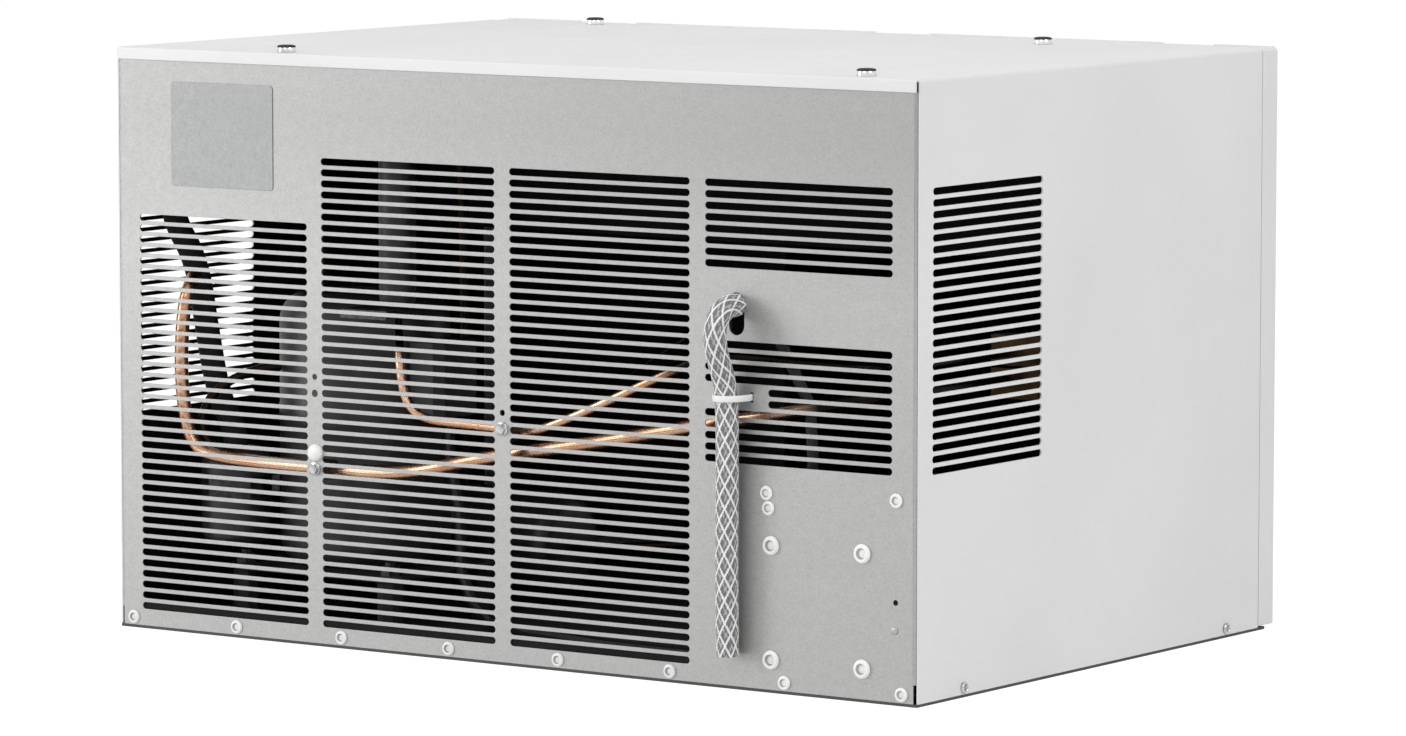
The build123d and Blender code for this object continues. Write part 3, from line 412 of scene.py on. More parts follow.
# %% The cord's line
SLEEVE_SIZE = 15 * MM
RING_STEP = 0.55 * MM    # between two rings of the sleeve's mesh
sleeve_route = [
    (189.4, -226.1, 252.2),
    (189.4, -237.2, 252.2),
    (189.2, -246.8, 246.6),
    (188.9, -250.7, 235.6),
    (188.8, -248.5, 222.0),
    (189.1, -238.7, 203.0),
    (189.4, -236.5, 178.0),
    (188.9, -236.1, 130.0),
    (188.6, -236.4, 76.0),
    (189.2, -235.9, 23.0),
]


def spline_curve(name, points, radius=0.0, steps=12):
    """A smooth NURBS line near the points, in metres, with a round section if a radius is given."""
    data = bpy.data.curves.new(name, "CURVE")
    data.dimensions = "3D"
    data.resolution_u = steps
    data.bevel_depth = radius
    data.bevel_resolution = 5
    data.use_fill_caps = True
    spline = data.splines.new("NURBS")
    spline.points.add(len(points) - 1)
    for point, target in zip(spline.points, points):
        point.co = (*[value * MM for value in target], 1.0)
    spline.order_u = 3
    spline.use_endpoint_u = True
    return data


def points_along(name, points, steps=12):
    """Points read from the smooth line itself."""
    line = evaluated(linked(name, spline_curve(name, points, 0.0, steps)))
    return [vertex.co.copy() for vertex in line.vertices]


def evenly(path, step):
    """The same line with its points a fixed step apart."""
    spots = [path[0]]
    left = step
    for before, after in zip(path, path[1:]):
        run = (after - before).length
        done = 0.0
        while run - done >= left:
            done += left
            spots.append(before.lerp(after, done / run))
            left = step
        left -= run - done
    if (spots[-1] - path[-1]).length > 0.3 * step:
        spots.append(path[-1])
    return spots


def frames_along(path, side):
    """At each point: its place, and two directions across the line that don't twist."""
    frames = []
    for i, here in enumerate(path):
        ahead = path[min(i + 1, len(path) - 1)] - path[max(i - 1, 0)]
        ahead.normalize()
        side = (side - ahead * side.dot(ahead)).normalized()
        frames.append((here, side, ahead.cross(side)))
    return frames


sleeve_path = evenly(points_along("sleeve_line", sleeve_route, 24), RING_STEP)

# %% [markdown]
# A braid is two sets of flat yarns that wind opposite ways and pass over and under each other. The
# height of each spot on the sleeve comes from those two sets: whichever yarn is on top there. A few
# of the yarns are white, which draws the diamond lattice; the rest are grey. Colour goes onto the
# mesh as an attribute from the same rule, so the lattice and its relief can't come apart.

# %% The braided sleeve
YARNS = 30            # yarns each way round the sleeve
LATTICE_PITCH = 90 * MM   # one full turn of a yarn along the sleeve
TRACER_EVERY = 5      # every fifth yarn is white, and one between is pale
RELIEF = 0.42 * MM
AROUND = 120          # points in each ring
PALE = 0.4            # how white a pale yarn is


def braid_height(turn, along):
    """Height of the weave, from 0 to 1, and how white it is, at a turn (0..1) and a length."""
    lift = along / LATTICE_PITCH
    best = 0.0
    white = 0.0
    for way in (1, -1):
        lane = (turn + way * lift) * YARNS
        across = 1 - abs(2 * (lane % 1.0) - 1)
        crossing = (turn - way * lift) * YARNS
        over = 0.5 + 0.5 * cos(pi / 2 * (int(lane // 1) + crossing + (0.5 if way > 0 else 2.5)))
        tall = (across ** 0.5) * (0.45 + 0.55 * over)
        kind = int(lane // 1) % TRACER_EVERY
        if kind == 0:
            tall = 0.3 + 0.85 * across ** 0.5
        if tall > best:
            best = tall
            white = 1.0 if kind == 0 else PALE if kind == 2 else 0.0
    return min(best, 1.15), white


def braid_mesh():
    mesh = bpy.data.meshes.new("sleeve_weave")
    radius = SLEEVE_SIZE / 2 - RELIEF * 0.9
    vertices = []
    whites = []
    frames = frames_along(sleeve_path, Vector((1, 0, 0)))
    length = 0.0
    for i, (here, side, up) in enumerate(frames):
        if i:
            length += (here - frames[i - 1][0]).length
        slack = 1 + 0.03 * noise.noise(Vector((0.0, 0.0, length * 60)))
        for k in range(AROUND):
            turn = k / AROUND
            height, white = braid_height(turn, length)
            reach = radius * slack + RELIEF * height
            vertices.append(here + side * (cos(tau * turn) * reach) + up * (sin(tau * turn) * reach))
            whites.append(white)
    faces = []
    for i in range(len(frames) - 1):
        for k in range(AROUND):
            a = i * AROUND + k
            b = i * AROUND + (k + 1) % AROUND
            faces.append((a, b, b + AROUND, a + AROUND))
    mesh.from_pydata(vertices, [], faces)
    tone = mesh.attributes.new("tracer", "FLOAT", "POINT")
    tone.data.foreach_set("value", whites)
    return mesh


def braid_yarn():
    """Twisted polyester multifilament: grey and white yarns with a dull, fibrous surface."""
    material, tree, where = start_material("woven_polyester_yarn")
    tracer = add(tree, "ShaderNodeAttribute", {"attribute_name": "tracer"})
    fibre = grains(tree, where, 0.7, 3.0)
    grey = blend_colours(tree, fibre, "#5A5B5C", "#808181")
    white = blend_colours(tree, fibre, "#E2E2E2", "#F8F8F8")
    return with_surface(material, {"Roughness": 0.75, "Sheen Weight": 0.2}, {
        "Base Color": mix_colours(tree, tracer.outputs["Fac"], grey, white),
        "Normal": bumps(tree, fibre, 0.3, 0.08 * MM),
    })


sleeve = place(braid_mesh(), "cord_sleeve", braid_yarn(), "braid", ["harness_sleeve"])
print("sleeve vertices:", len(sleeve.data.vertices))

# %% [markdown]
# The sleeve is cut off flush at the bottom, and the ends of its wires show there. Seven insulated
# wires, packed as six round one, fill it.

# %% Wire ends in the sleeve's mouth


def wire_ends(wire=1.9 * MM, depth=8 * MM):
    """Short lengths of insulated wire, standing in the mouth of the sleeve."""
    here = sleeve_path[-1]
    spots = [Vector((0, 0, 0))]
    spots += [Vector((cos(i * tau / 6), sin(i * tau / 6), 0)) * 2.1 * wire for i in range(6)]

    def build(work):
        for spot in spots:
            centre = here + spot + Vector((0, 0, 4.2 * MM))
            bmesh.ops.create_cone(work, cap_ends=True, segments=20, radius1=wire, radius2=wire,
                                  depth=depth, matrix=Matrix.Translation(centre))
    return mesh_from("wire_ends", build)


wires = place(wire_ends(), "cord_wires", black_nylon, "black_plastic")
print("wire ends:", len(wires.data.polygons), "faces")

# %% [markdown]
# Sheet metal is laid out as loops of points: plain blanks, obround slots with round ends, round
# holes, and plates with rounded corners.

# %% Outlines of blanks, slots and holes


def rectangle(x0, y0, x1, y1):
    return [(x0, y0), (x1, y0), (x1, y1), (x0, y1)]


def obround(x, y, length, tall, upright=False, steps=7):
    """A slot with round ends, as a loop of points about its centre."""
    radius = tall / 2
    reach = length / 2 - radius
    loop = []
    for end in (1, -1):
        for i in range(steps + 1):
            turn = -end * pi / 2 + pi * i / steps
            loop.append((end * reach + radius * cos(turn), radius * sin(turn)))
    if upright:
        loop = [(-b, a) for a, b in loop]
    return [(x + a, y + b) for a, b in loop]


def disc(x, y, radius, steps=24):
    return [(x + radius * cos(tau * i / steps), y + radius * sin(tau * i / steps)) for i in range(steps)]


def rounded(x, y, length, tall, radius, steps=6):
    """A rectangle about a centre with rounded corners."""
    loop = []
    for sx, sy, start in ((1, 1, 0), (-1, 1, 1), (-1, -1, 2), (1, -1, 3)):
        for i in range(steps + 1):
            turn = (start + i / steps) * pi / 2
            loop.append((x + sx * (length / 2 - radius) + radius * cos(turn),
                         y + sy * (tall / 2 - radius) + radius * sin(turn)))
    return loop


print("points round a slot's edge:", len(obround(0, 0, 10, 2)))

# %% [markdown]
# A pressed sheet is an outline with holes and a thickness, so it is drawn as one: a flat curve with
# its slots as inner loops, filled, thickened, and given a tiny rolled edge that catches the light as
# a deburred edge does. The curve is then turned into a mesh. A fold is a strip of its own.

# %% Flat sheets and folds


def flat_sheet(name, loops, thickness, matrix, edge=0.12 * MM):
    """A sheet from its outline and holes, its outer face on the plane and its body behind it."""
    data = bpy.data.curves.new(name, "CURVE")
    data.dimensions = "2D"
    data.fill_mode = "BOTH"
    data.extrude = thickness / 2 - edge
    data.bevel_depth = edge
    data.bevel_resolution = 1
    data.offset = -edge
    for loop in loops:
        spline = data.splines.new("POLY")
        spline.points.add(len(loop) - 1)
        for point, (x, y) in zip(spline.points, loop):
            point.co = (x, y, 0.0, 1.0)
        spline.use_cyclic_u = True
    mesh = evaluated(linked(name, data))
    mesh.transform(matrix @ Matrix.Translation((0, 0, -thickness / 2)))
    return mesh


def joined(name, meshes):
    """Several meshes as one."""
    def build(work):
        for mesh in meshes:
            work.from_mesh(mesh)
    return mesh_from(name, build)


def strip(profile, start, end, matrix):
    """A thin bent strip: a profile of (outer, inner) point pairs drawn along one direction."""
    def build(work):
        rings = []
        for reach in (start, end):
            outer = [work.verts.new((a[0], a[1], reach)) for a, _ in profile]
            inner = [work.verts.new((b[0], b[1], reach)) for _, b in profile]
            rings.append((outer, inner))
        (outer0, inner0), (outer1, inner1) = rings
        last = len(profile) - 1
        for i in range(last):
            work.faces.new((outer0[i], outer0[i + 1], outer1[i + 1], outer1[i]))
            work.faces.new((inner0[i + 1], inner0[i], inner1[i], inner1[i + 1]))
            work.faces.new((outer0[i + 1], outer0[i], inner0[i], inner0[i + 1]))
            work.faces.new((outer1[i], outer1[i + 1], inner1[i + 1], inner1[i]))
        work.faces.new((outer0[0], outer1[0], inner1[0], inner0[0]))
        work.faces.new((outer1[last], outer0[last], inner0[last], inner1[last]))
        bmesh.ops.recalc_face_normals(work, faces=work.faces)
    mesh = mesh_from("strip", build)
    mesh.transform(matrix)
    if matrix.determinant() < 0:
        mesh.flip_normals()
    return mesh


def fold_profile(corner, radius, thickness, leg_before, leg_after, steps=6):
    """Pairs of outer and inner points of a sheet folded a quarter turn about a corner.

    It runs along +x towards the corner, then down along -y."""
    centre = (corner[0] - radius, corner[1] - radius)
    inner_radius = max(radius - thickness, 0.02 * MM)
    pairs = [((centre[0] - leg_before, corner[1]), (centre[0] - leg_before, corner[1] - thickness))]
    for i in range(steps + 1):
        turn = pi / 2 * (1 - i / steps)
        pairs.append(((centre[0] + radius * cos(turn), centre[1] + radius * sin(turn)),
                      (centre[0] + inner_radius * cos(turn), centre[1] + inner_radius * sin(turn))))
    pairs.append(((corner[0], centre[1] - leg_after), (corner[0] - thickness, centre[1] - leg_after)))
    return pairs


print("pairs of points across a fold:", len(fold_profile((0, 0), 2, 1, 1, 1)))

# %% [markdown]
# The service face is one galvanised sheet. Its slots stand in four columns on one pitch, and some
# rows are left out: at the blank plate, around the cord outlet and over the electrical box. The
# same few numbers that set the solid sheet's slots are used here, so that both agree.

# %% The slotted service panel
SLOT_PITCH = 7.5 * MM
SLOT_TALL = 4.8 * MM
SLOT_WEB = 12.2 * MM
COLUMN_PITCH = (2 * HALF - 27.2 * MM) / 4
SLOT_LONG = COLUMN_PITCH - SLOT_WEB
FIRST_ROW = TOP - 72.2 * MM
COLUMNS = [(i - 1.5) * COLUMN_PITCH for i in range(4)]
WEBS = [(a + b) / 2 for a, b in zip(COLUMNS, COLUMNS[1:])]
OUTLET = (189.4 * MM, 246.2 * MM)
OUTLET_SIZE = (28.0 * MM, 12.2 * MM)
TIE_Z = 192.4 * MM
TIE_REACH = 11.8 * MM
ROWS = 43
PLATE_ROWS = 6              # first rows left out of the first column, for the blank plate
OUTLET_ROWS = range(8, 14)  # rows left out of the last column, round the cord outlet
TIE_ROWS = (18, 19)         # rows that start to the right of the tie
BOX_ROW = 25                # from here down the last column is left out, over the box
SMALL_HOLES = ((WEBS[0], 184.3, 2.05), (WEBS[0], 173.0, 2.5), (WEBS[1], 169.7, 2.05),
               (313.4 * MM, 66.7, 1.9), (WEBS[0], 121.4, 2.0), (WEBS[1], 158.9, 2.0))


def rear_loops():
    """Every slot and hole of the service panel, as loops."""
    loops = []
    for row in range(ROWS):
        z = FIRST_ROW - row * SLOT_PITCH
        for column in COLUMNS[0 if row >= PLATE_ROWS else 1:3]:
            loops.append(obround(column, z, SLOT_LONG, SLOT_TALL))
        if row in TIE_ROWS:
            start = OUTLET[0] + 24.8 * MM
            end = COLUMNS[3] + SLOT_LONG / 2
            loops.append(obround((start + end) / 2, z, end - start, SLOT_TALL))
        elif row not in OUTLET_ROWS and row < BOX_ROW:
            loops.append(obround(COLUMNS[3], z, SLOT_LONG, SLOT_TALL))
    loops.append(obround(*OUTLET, *OUTLET_SIZE, upright=True))
    for side in (-1, 1):
        loops.append(obround(OUTLET[0] + side * TIE_REACH, TIE_Z, 7 * MM, 3.2 * MM, upright=True))
    return loops + [disc(x, z * MM, radius * MM) for x, z, radius in SMALL_HOLES]


ON_REAR = Matrix.Translation((0, REAR_Y, 0)) @ Matrix.Rotation(pi / 2, 4, "X")


def rear_sheet(bend=1.8 * MM, notch=12.4 * MM, relief=7 * MM):
    """The slotted face with a folded strip down each side, notched below and relieved above."""
    low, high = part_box("rear_panel")
    edge = high[0] - bend
    outline = rectangle(-edge, low[2], edge, high[2])
    parts = [flat_sheet("rear_face", [outline] + rear_loops(), REAR_SHEET, ON_REAR, 0.1 * MM)]
    for side in (-1, 1):
        # the strip's own x runs outward across the panel, its y out of the panel, its z up
        turn = Matrix(((side, 0, 0, 0), (0, -1, 0, REAR_Y), (0, 0, 1, 0), (0, 0, 0, 1)))
        profile = fold_profile((high[0], 0.0), bend, REAR_SHEET, 0.3 * MM, 12 * MM - bend)
        parts.append(strip(profile, low[2] + notch, high[2] - relief, turn))
    return joined("rear_sheet", parts)


rear = place(rear_sheet(), "service_panel", zinc_sheet, "galvanised", ["rear_panel"])
print("service panel faces:", len(rear.data.polygons))

# %% [markdown]
# The white wrap is a single sheet too: up one side, over the top and down the other, with a short
# lip folded over the service panel. Its section is drawn once and carried along the depth, and one
# set of punches cuts the slots through both walls, in line with those of the service face. Its
# inner faces are painted near black as painted shade, so that the cabinet is dark behind its slots.

# %% The white wrap
WRAP_BEND = 2.5 * MM
EDGE_SETBACK = 1.1 * MM
LIP = 8.2 * MM
LIP_RELIEF = 1.75 * MM
SIDE_ROWS = 25
SIDE_SLOT = 132 * MM
SIDE_INSET = 16.8 * MM     # service face to the first end of a side slot


def cut_slots(mesh, loops):
    """Punches loops of (y, z) straight through both side walls."""
    past = HALF + 5 * MM

    def build(work):
        for loop in loops:
            ends = [[work.verts.new((x, y, z)) for y, z in loop] for x in (-past, past)]
            work.faces.new(ends[0][::-1])
            work.faces.new(ends[1])
            quads_between(work, *ends)
        bmesh.ops.recalc_face_normals(work, faces=work.faces)
    sheet = linked("punch_sheet", mesh)
    punch = linked("punch", mesh_from("punch", build))
    cut = sheet.modifiers.new("slots", "BOOLEAN")
    cut.operation = "DIFFERENCE"
    cut.solver = "EXACT"
    cut.object = punch
    result = evaluated(sheet)
    bpy.data.objects.remove(punch)
    return result


def wrap_profile():
    """Outer and inner points of the wrap, up the left side, over the top and down the right."""
    pairs = [((-HALF, PAN_TOP), (SHEET - HALF, PAN_TOP))]
    for side, start in ((-1, pi), (1, pi / 2)):
        centre = (side * (HALF - WRAP_BEND), TOP - WRAP_BEND)
        for i in range(9):
            turn = start - pi / 2 * i / 8
            pairs.append(tuple((centre[0] + r * cos(turn), centre[1] + r * sin(turn))
                               for r in (WRAP_BEND, WRAP_BEND - SHEET)))
    return pairs + [((HALF, PAN_TOP), (HALF - SHEET, PAN_TOP))]


def wrap_sheet():
    """The bent and punched sheet, joined with its lip."""
    back = REAR_Y + EDGE_SETBACK
    along = Matrix(((1, 0, 0, 0), (0, 0, 1, 0), (0, 1, 0, 0), (0, 0, 0, 1)))
    slot_y = REAR_Y + SIDE_INSET + SIDE_SLOT / 2
    slots = [obround(slot_y, FIRST_ROW - row * SLOT_PITCH, SIDE_SLOT, SLOT_TALL)
             for row in range(SIDE_ROWS)]
    body = cut_slots(strip(wrap_profile(), back, SEAM_Y, along), slots)
    # the lip: its own x runs out of the service face, its y is up
    fold = fold_profile((SHEET, TOP), SHEET, SHEET, EDGE_SETBACK + 0.3 * MM, LIP - SHEET, 6)
    reach = HALF - LIP_RELIEF
    lip_turn = Matrix(((0, 0, 1, 0), (-1, 0, 0, REAR_Y), (0, 1, 0, 0), (0, 0, 0, 1)))
    return joined("wrap", [body, strip(fold, -reach, reach, lip_turn)])


def darken_inside(mesh, material):
    """Gives the faces that look into the cabinet a near-black finish of painted shade."""
    mesh.materials.append(white_coat)
    mesh.materials.append(material)
    skin = 0.95 * SHEET
    for face in mesh.polygons:
        x, y, z = face.center
        behind_lip = y > REAR_Y + EDGE_SETBACK + SHEET
        face.material_index = int(abs(x) < HALF - skin and z < TOP - skin and behind_lip)


wrap_mesh = wrap_sheet()
# painted shade: the inner faces take a near black
darken_inside(wrap_mesh, inner_shade_black)
wrap = place(wrap_mesh, "white_wrap", white_coat, "white_paint", ["cover_wrap"])
print("wrap faces:", len(wrap.data.polygons))

# %% [markdown]
# Turned and pressed round pieces share one maker: a profile of radius and height, spun about an
# axis. A blind rivet is a white rim round a dish that is painted grey as painted shade, with the sunk
# end of its pin in it.

# %% Spun pieces


def spun(profile, matrices, segments=32):
    """A profile of (radius, height) in mm spun about +Z, once for each matrix."""
    def build(work):
        for matrix in matrices:
            rings = []
            for radius, height in profile:
                if radius == 0:
                    rings.append([work.verts.new(matrix @ Vector((0, 0, height * MM)))])
                else:
                    spots = [(radius * MM * cos(tau * k / segments), radius * MM * sin(tau * k / segments))
                             for k in range(segments)]
                    rings.append([work.verts.new(matrix @ Vector((x, y, height * MM))) for x, y in spots])
            for low, high in zip(rings, rings[1:]):
                if len(low) == len(high):
                    quads_between(work, low, high)
                    continue
                for k in range(segments):
                    after = (k + 1) % segments
                    tip = (low[0], high[after], high[k]) if len(low) == 1 else (low[k], low[after], high[0])
                    work.faces.new(tip)
        bmesh.ops.recalc_face_normals(work, faces=work.faces)
    return mesh_from("spun", build)


def prism(radius, low, high, matrices, sides=6):
    """A bevelled hexagon head, in mm, for each matrix."""
    profile = [(0, low), (radius, low), (radius, high - 0.5), (radius - 0.6, high), (0, high)]
    return spun(profile, matrices, sides)


def on_rear(x, z):
    """A place on the service face, from x and z in metres, with its own +Z out of the face."""
    return ON_REAR @ Matrix.Translation((x, z, 0))


def dome_profile(radius, rise, rim, steps=6):
    """A low dome as (radius, height) pairs from its foot to its crown."""
    points = [(0.0, 0.0), (radius, 0.0), (radius, rim)]
    points += [(radius * cos(pi / 2 * i / steps), rim + (rise - rim) * sin(pi / 2 * i / steps))
               for i in range(1, steps)]
    return points + [(0.0, rise)]


def rivet_profile(radius, rise):
    """A pulled rivet's head: a rolled rim round a shallow dish, with the pin's stump in it."""
    shares = ((0.0, 0.0), (0.97, 0.0), (1.0, 0.2), (0.97, 0.5), (0.88, 0.82), (0.76, 0.98), (0.66, 1.0),
              (0.58, 0.9), (0.5, 0.5), (0.42, 0.2), (0.3, 0.14), (0.16, 0.3), (0.0, 0.34))
    return [(radius * r, rise * h) for r, h in shares]


DISH_BANDS = (0, 7, 8)    # bands of that profile painted grey as shade: its underside and its dish


def rivets(radius, rise, places, segments=32):
    """Spun rivets whose dish is painted darker than their rim and pin, as painted shade."""
    profile = rivet_profile(radius, rise)
    mesh = spun(profile, places, segments)
    mesh.materials.append(white_lacquer)
    mesh.materials.append(dish_shade_lacquer)
    # painted shade: the underside and the dish take the grey
    for face in mesh.polygons:
        face.material_index = int(face.index // segments % (len(profile) - 1) in DISH_BANDS)
    return mesh


print("points in a rivet's profile:", len(rivet_profile(1, 1)))

# %% [markdown]
# White rivets stand along the foot of the service face, on its brackets and round the electrical
# box. A screw has a washer face and a hexagon, and holds a clip. A bumper is a short polished post
# under a rubber cap, and there are four on the top. The plate in the corner is bare.

# %% Rivets, screws, bumpers and the plate
RIVET_X = [(i - 3.5) * (2 * HALF - 24.1 * MM) / 7 for i in range(8)]
BRACKET_RIVETS = ((213.1, 130.8), (214.7, 121.0), (313.9, 132.7))
rivet_places = [on_rear(x, 7.5 * MM) for x in RIVET_X]
rivet_places += [on_rear(x * MM, z * MM) for x, z in BRACKET_RIVETS]
place(rivets(4.8, 1.7, rivet_places), "blind_rivets", white_lacquer, "white_rivet", ["rear_rivets"])
box_places = [on_rear((252.4 + sx * 35.5) * MM, (59.2 + sz * 37.5) * MM)
              for sx in (-1, 1) for sz in (-1, 1)]
place(rivets(6.4, 2.3, box_places), "box_rivet_heads", white_lacquer, "zinc_plated", ["box_rivets"])
place(spun(dome_profile(5.8, 4.6, 0.8), [on_rear(-157.6 * MM, 132.6 * MM)]), "hole_plug", white_nylon,
      "white_plastic", ["plug_button"])
place(spun(dome_profile(2.6, 1.0, 0.3), [on_rear(312.7 * MM, 48.5 * MM)]), "stud_end", zinc_sheet,
      "galvanised", ["corner_stud"])
clip_places = [on_rear(WEBS[0], 121.4 * MM), on_rear(WEBS[1], 158.9 * MM)]
clip_heads = joined("clip_heads", [
    spun([(0, -7), (1.85, -7), (1.85, 0), (4.6, 0), (4.6, 0.8), (4.2, 1.1), (0, 1.1)], clip_places),
    prism(3.9, 1.0, 4.0, clip_places),
])
place(clip_heads, "clip_screw_heads", zinc_plate, "zinc_plated", ["clip_screws"])
side_places = []
for inset in (54.9, 388.0):
    for side in (-1, 1):
        spot = Matrix.Translation((side * HALF, REAR_Y + inset * MM, 6.6 * MM))
        side_places.append(spot @ Matrix.Rotation(side * pi / 2, 4, "Y"))
place(spun(rivet_profile(3.8, 2.2), side_places), "side_screw_heads", zinc_plate, "zinc_plated",
      ["side_screws"])

bumper_places = [Matrix.Translation((x * MM, y * MM, TOP))
                 for x, y in ((-192.1, -211.9), (278.5, -208.7), (-228.4, 198.0), (177.0, 166.6))]
post_profile = [(0, 0), (6.0, 0), (6.4, 0.3), (6.4, 3.0), (6.1, 3.4), (0, 3.4)]
cap_profile = [(0, 3.4), (6.4, 3.4), (6.4, 3.9), (5.9, 4.45), (4.6, 4.85), (2.6, 5.0), (0, 5.0)]
place(spun(post_profile, bumper_places, 40), "bumper_rings", polished_steel, "polished_steel",
      ["bumper_posts"])
place(spun(cap_profile, bumper_places, 40), "bumper_pads", black_rubber, "black_rubber", ["bumper_caps"])

plate_loop = rounded(COLUMNS[0], 345.0 * MM, 88.6 * MM, 71.6 * MM, 2.6 * MM)
plate_place = ON_REAR @ Matrix.Translation((0, 0, 0.5 * MM))
place(flat_sheet("plate", [plate_loop], 0.5 * MM, plate_place, 0.1 * MM), "bare_plate", plate_metal,
      "grey_plate", ["blank_plate"])
print("rivets:", len(rivet_places + box_places), "bumpers:", len(bumper_places))

# %% [markdown]
# The tie is a nylon strap that goes round the sleeve and through two small slots. Its band is a
# closed loop with rounded edges: flat against the panel's back, straight out, and round the sleeve.

# %% The cable tie


def tie_mesh():
    """The band, from one slot out round the sleeve and back into the other."""
    tie_out = 11.6
    inner = SLEEVE_SIZE / MM / 2 + 0.2
    reach = TIE_REACH / MM
    band = 1.2
    half_width = 2.1
    section = ((0.0, -0.8), (0.0, 0.8), (0.25, 1.0), (0.75, 1.0), (1.0, 0.8), (1.0, -0.8), (0.75, -1.0),
               (0.25, -1.0))

    def loop(reach, front, back):
        """Points in (across, out) mm, with both ends behind the panel."""
        arch = [(-reach * cos(pi * i / 32), 0.8 + (front - 0.8) * sin(pi * i / 32) ** 0.9)
                for i in range(33)]
        return [(-reach, back)] + arch + [(reach, back)]

    outer = loop(reach + band / 2, tie_out + inner + band, -2.4)
    inside = loop(reach - band / 2, tie_out + inner, -1.3)

    def build(work):
        rows = []
        for (ax, ay), (bx, by) in zip(outer, inside):
            row = []
            for t, w in section:
                x, y = ax + (bx - ax) * t, ay + (by - ay) * t
                spot = (OUTLET[0] + x * MM, REAR_Y - y * MM, TIE_Z + w * half_width * MM)
                row.append(work.verts.new(spot))
            rows.append(row)
        for low, high in zip(rows, rows[1:]):
            quads_between(work, low, high)
        work.faces.new(rows[0])
        work.faces.new(rows[-1])
        bmesh.ops.recalc_face_normals(work, faces=work.faces)
    return mesh_from("tie", build)


def tie_back():
    """The lock behind the panel, with the strap between the two slots."""
    def build(work):
        for centre, size in (((0, -1.9, 0), (24.8, 1.2, 4.6)), ((3.9, -4.4, 0), (6.6, 4.4, 6.0))):
            spot = Vector((OUTLET[0] + centre[0] * MM, REAR_Y - centre[1] * MM, TIE_Z))
            scale = Matrix.Diagonal((size[0] * MM, size[1] * MM, size[2] * MM, 1))
            bmesh.ops.create_cube(work, size=1, matrix=Matrix.Translation(spot) @ scale)
        bmesh.ops.bevel(work, geom=work.edges[:], offset=0.25 * MM, segments=2, affect="EDGES")
    return mesh_from("tie_back", build)


tie = place(joined("tie_whole", [tie_mesh(), tie_back()]), "nylon_tie", white_nylon, "white_plastic",
            ["cable_tie"])
print("tie faces:", len(tie.data.polygons))

# %% [markdown]
# Copper lines are bent by hand over a former, so every bend is a soft arc. The same corner points
# that set the solid lines are followed by smooth splines; only the foam-covered one stands up to
# seven millimetres nearer the middle at its top. The stub seals the compressor's filling tube.

# %% Refrigerant lines
VALVE_X = 295.5
SUCTION = [(-290.4, -190.9, 244.6), (-284, -205, 240), (-285.5, -211.1, 218), (-287.5, -211.1, 170),
           (-279.5, -211.1, 130), (-257, -211.1, 120.6), (-158.3, -211.1, 120), (-97, -211.1, 119.5),
           (-18, -211.1, 138.4), (60, -211.1, 151.4), (157, -211.1, 171.1), (258, -211.1, 190.4),
           (286, -202.1, 195.4), (VALVE_X, -177.1, 196), (VALVE_X, -70, 196)]
LIQUID = [(-110, -196, 232), (-110, -196, 218), (-98.5, -209.6, 204), (-96, -211.1, 186),
          (-92, -211.1, 170), (-79, -211.1, 159.2), (-40, -211.1, 157.9), (0, -211.1, 156.9),
          (22, -211.1, 157), (142, -211.1, 210.4), (160, -211.1, 217.6), (255, -211.1, 214.6),
          (288, -204.1, 214.6), (VALVE_X, -181.1, 214), (VALVE_X, -70, 214)]
DISCHARGE = [(-236.8, -163.5, 182), (-244.8, -173.7, 182), (-263, -195.2, 171), (-275, -200.2, 156),
             (-279, -200.2, 138), (-266, -200.2, 123.6), (-222, -200.2, 120.4), (-158, -200.2, 119.6),
             (-104, -200.2, 121), (-70, -178, 126), (-42, -110, 150), (-20, -10, 196), (-12, 74, 222),
             (4, 95, 228.9), (23.5, 95, 228.9)]
FOAM = [(-270.7, -171.5, 124), (-270.7, -171.5, 136), (-279, -180, 160), (-288, -181, 206),
        (-296, -182, 254), (-302, -202.1, 286), (-302, -202.1, 306)]
TO_TANK = [(23.5, 95, 51.1), (8, 95, 51.1), (-40, 55, 49.1), (-92, 16, 46), (-117, 16, 46)]
TO_DRIER = [(-110, -196, 356), (-110, -196, 370), (-118, -170, 380), (-160, -60, 378), (-208, -10, 366),
            (-212, 16, 332), (-212, 16, 83.5)]

QUARTER_INCH = 3.175 * MM   # radius of a 1/4 in tube
LINES = (
    ("suction", "suction_line", SUCTION, 4.75 * MM, suction_copper, "copper", ["suction_tube"]),
    ("liquid", "liquid_line", LIQUID, QUARTER_INCH, liquid_copper, "copper", ["liquid_tube"]),
    ("discharge", "discharge_line", DISCHARGE, QUARTER_INCH, shaded_copper, "copper", ["discharge_tube"]),
    ("foam", "foam_line", FOAM, 8.5 * MM, foam_skin, "black_foam", ["insulated_suction"]),
    ("to_drier", "drier_feed", TO_DRIER, QUARTER_INCH, shaded_copper, "copper", ["receiver_tubes"]),
    ("to_tank", "tank_feed", TO_TANK, QUARTER_INCH, shaded_copper, "copper", []),
)
for curve, piece, points, radius, material, slot, nodes in LINES:
    place(spline_curve(curve, points, radius), piece, material, slot, nodes)
stub_low, stub_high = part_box("process_stub")
stub_spot = ((stub_low[0] + stub_high[0]) / 2, (stub_low[1] + stub_high[1]) / 2, stub_low[2])
stub_profile = [(0, 0), (2.4, 0), (2.4, 34), (2.0, 38), (1.0, 42), (0, 42)]
place(spun(stub_profile, [Matrix.Translation(stub_spot)], 20), "charging_stub", shaded_copper, "copper",
      ["process_stub"])
print("lines:", len(LINES))

# %% [markdown]
# The compressor is a drawn steel pot welded shut: a belt where the halves lap, a crown that rolls
# over gently, and a pressed foot plate. Accumulator, receiver and drier are smaller sisters of it.

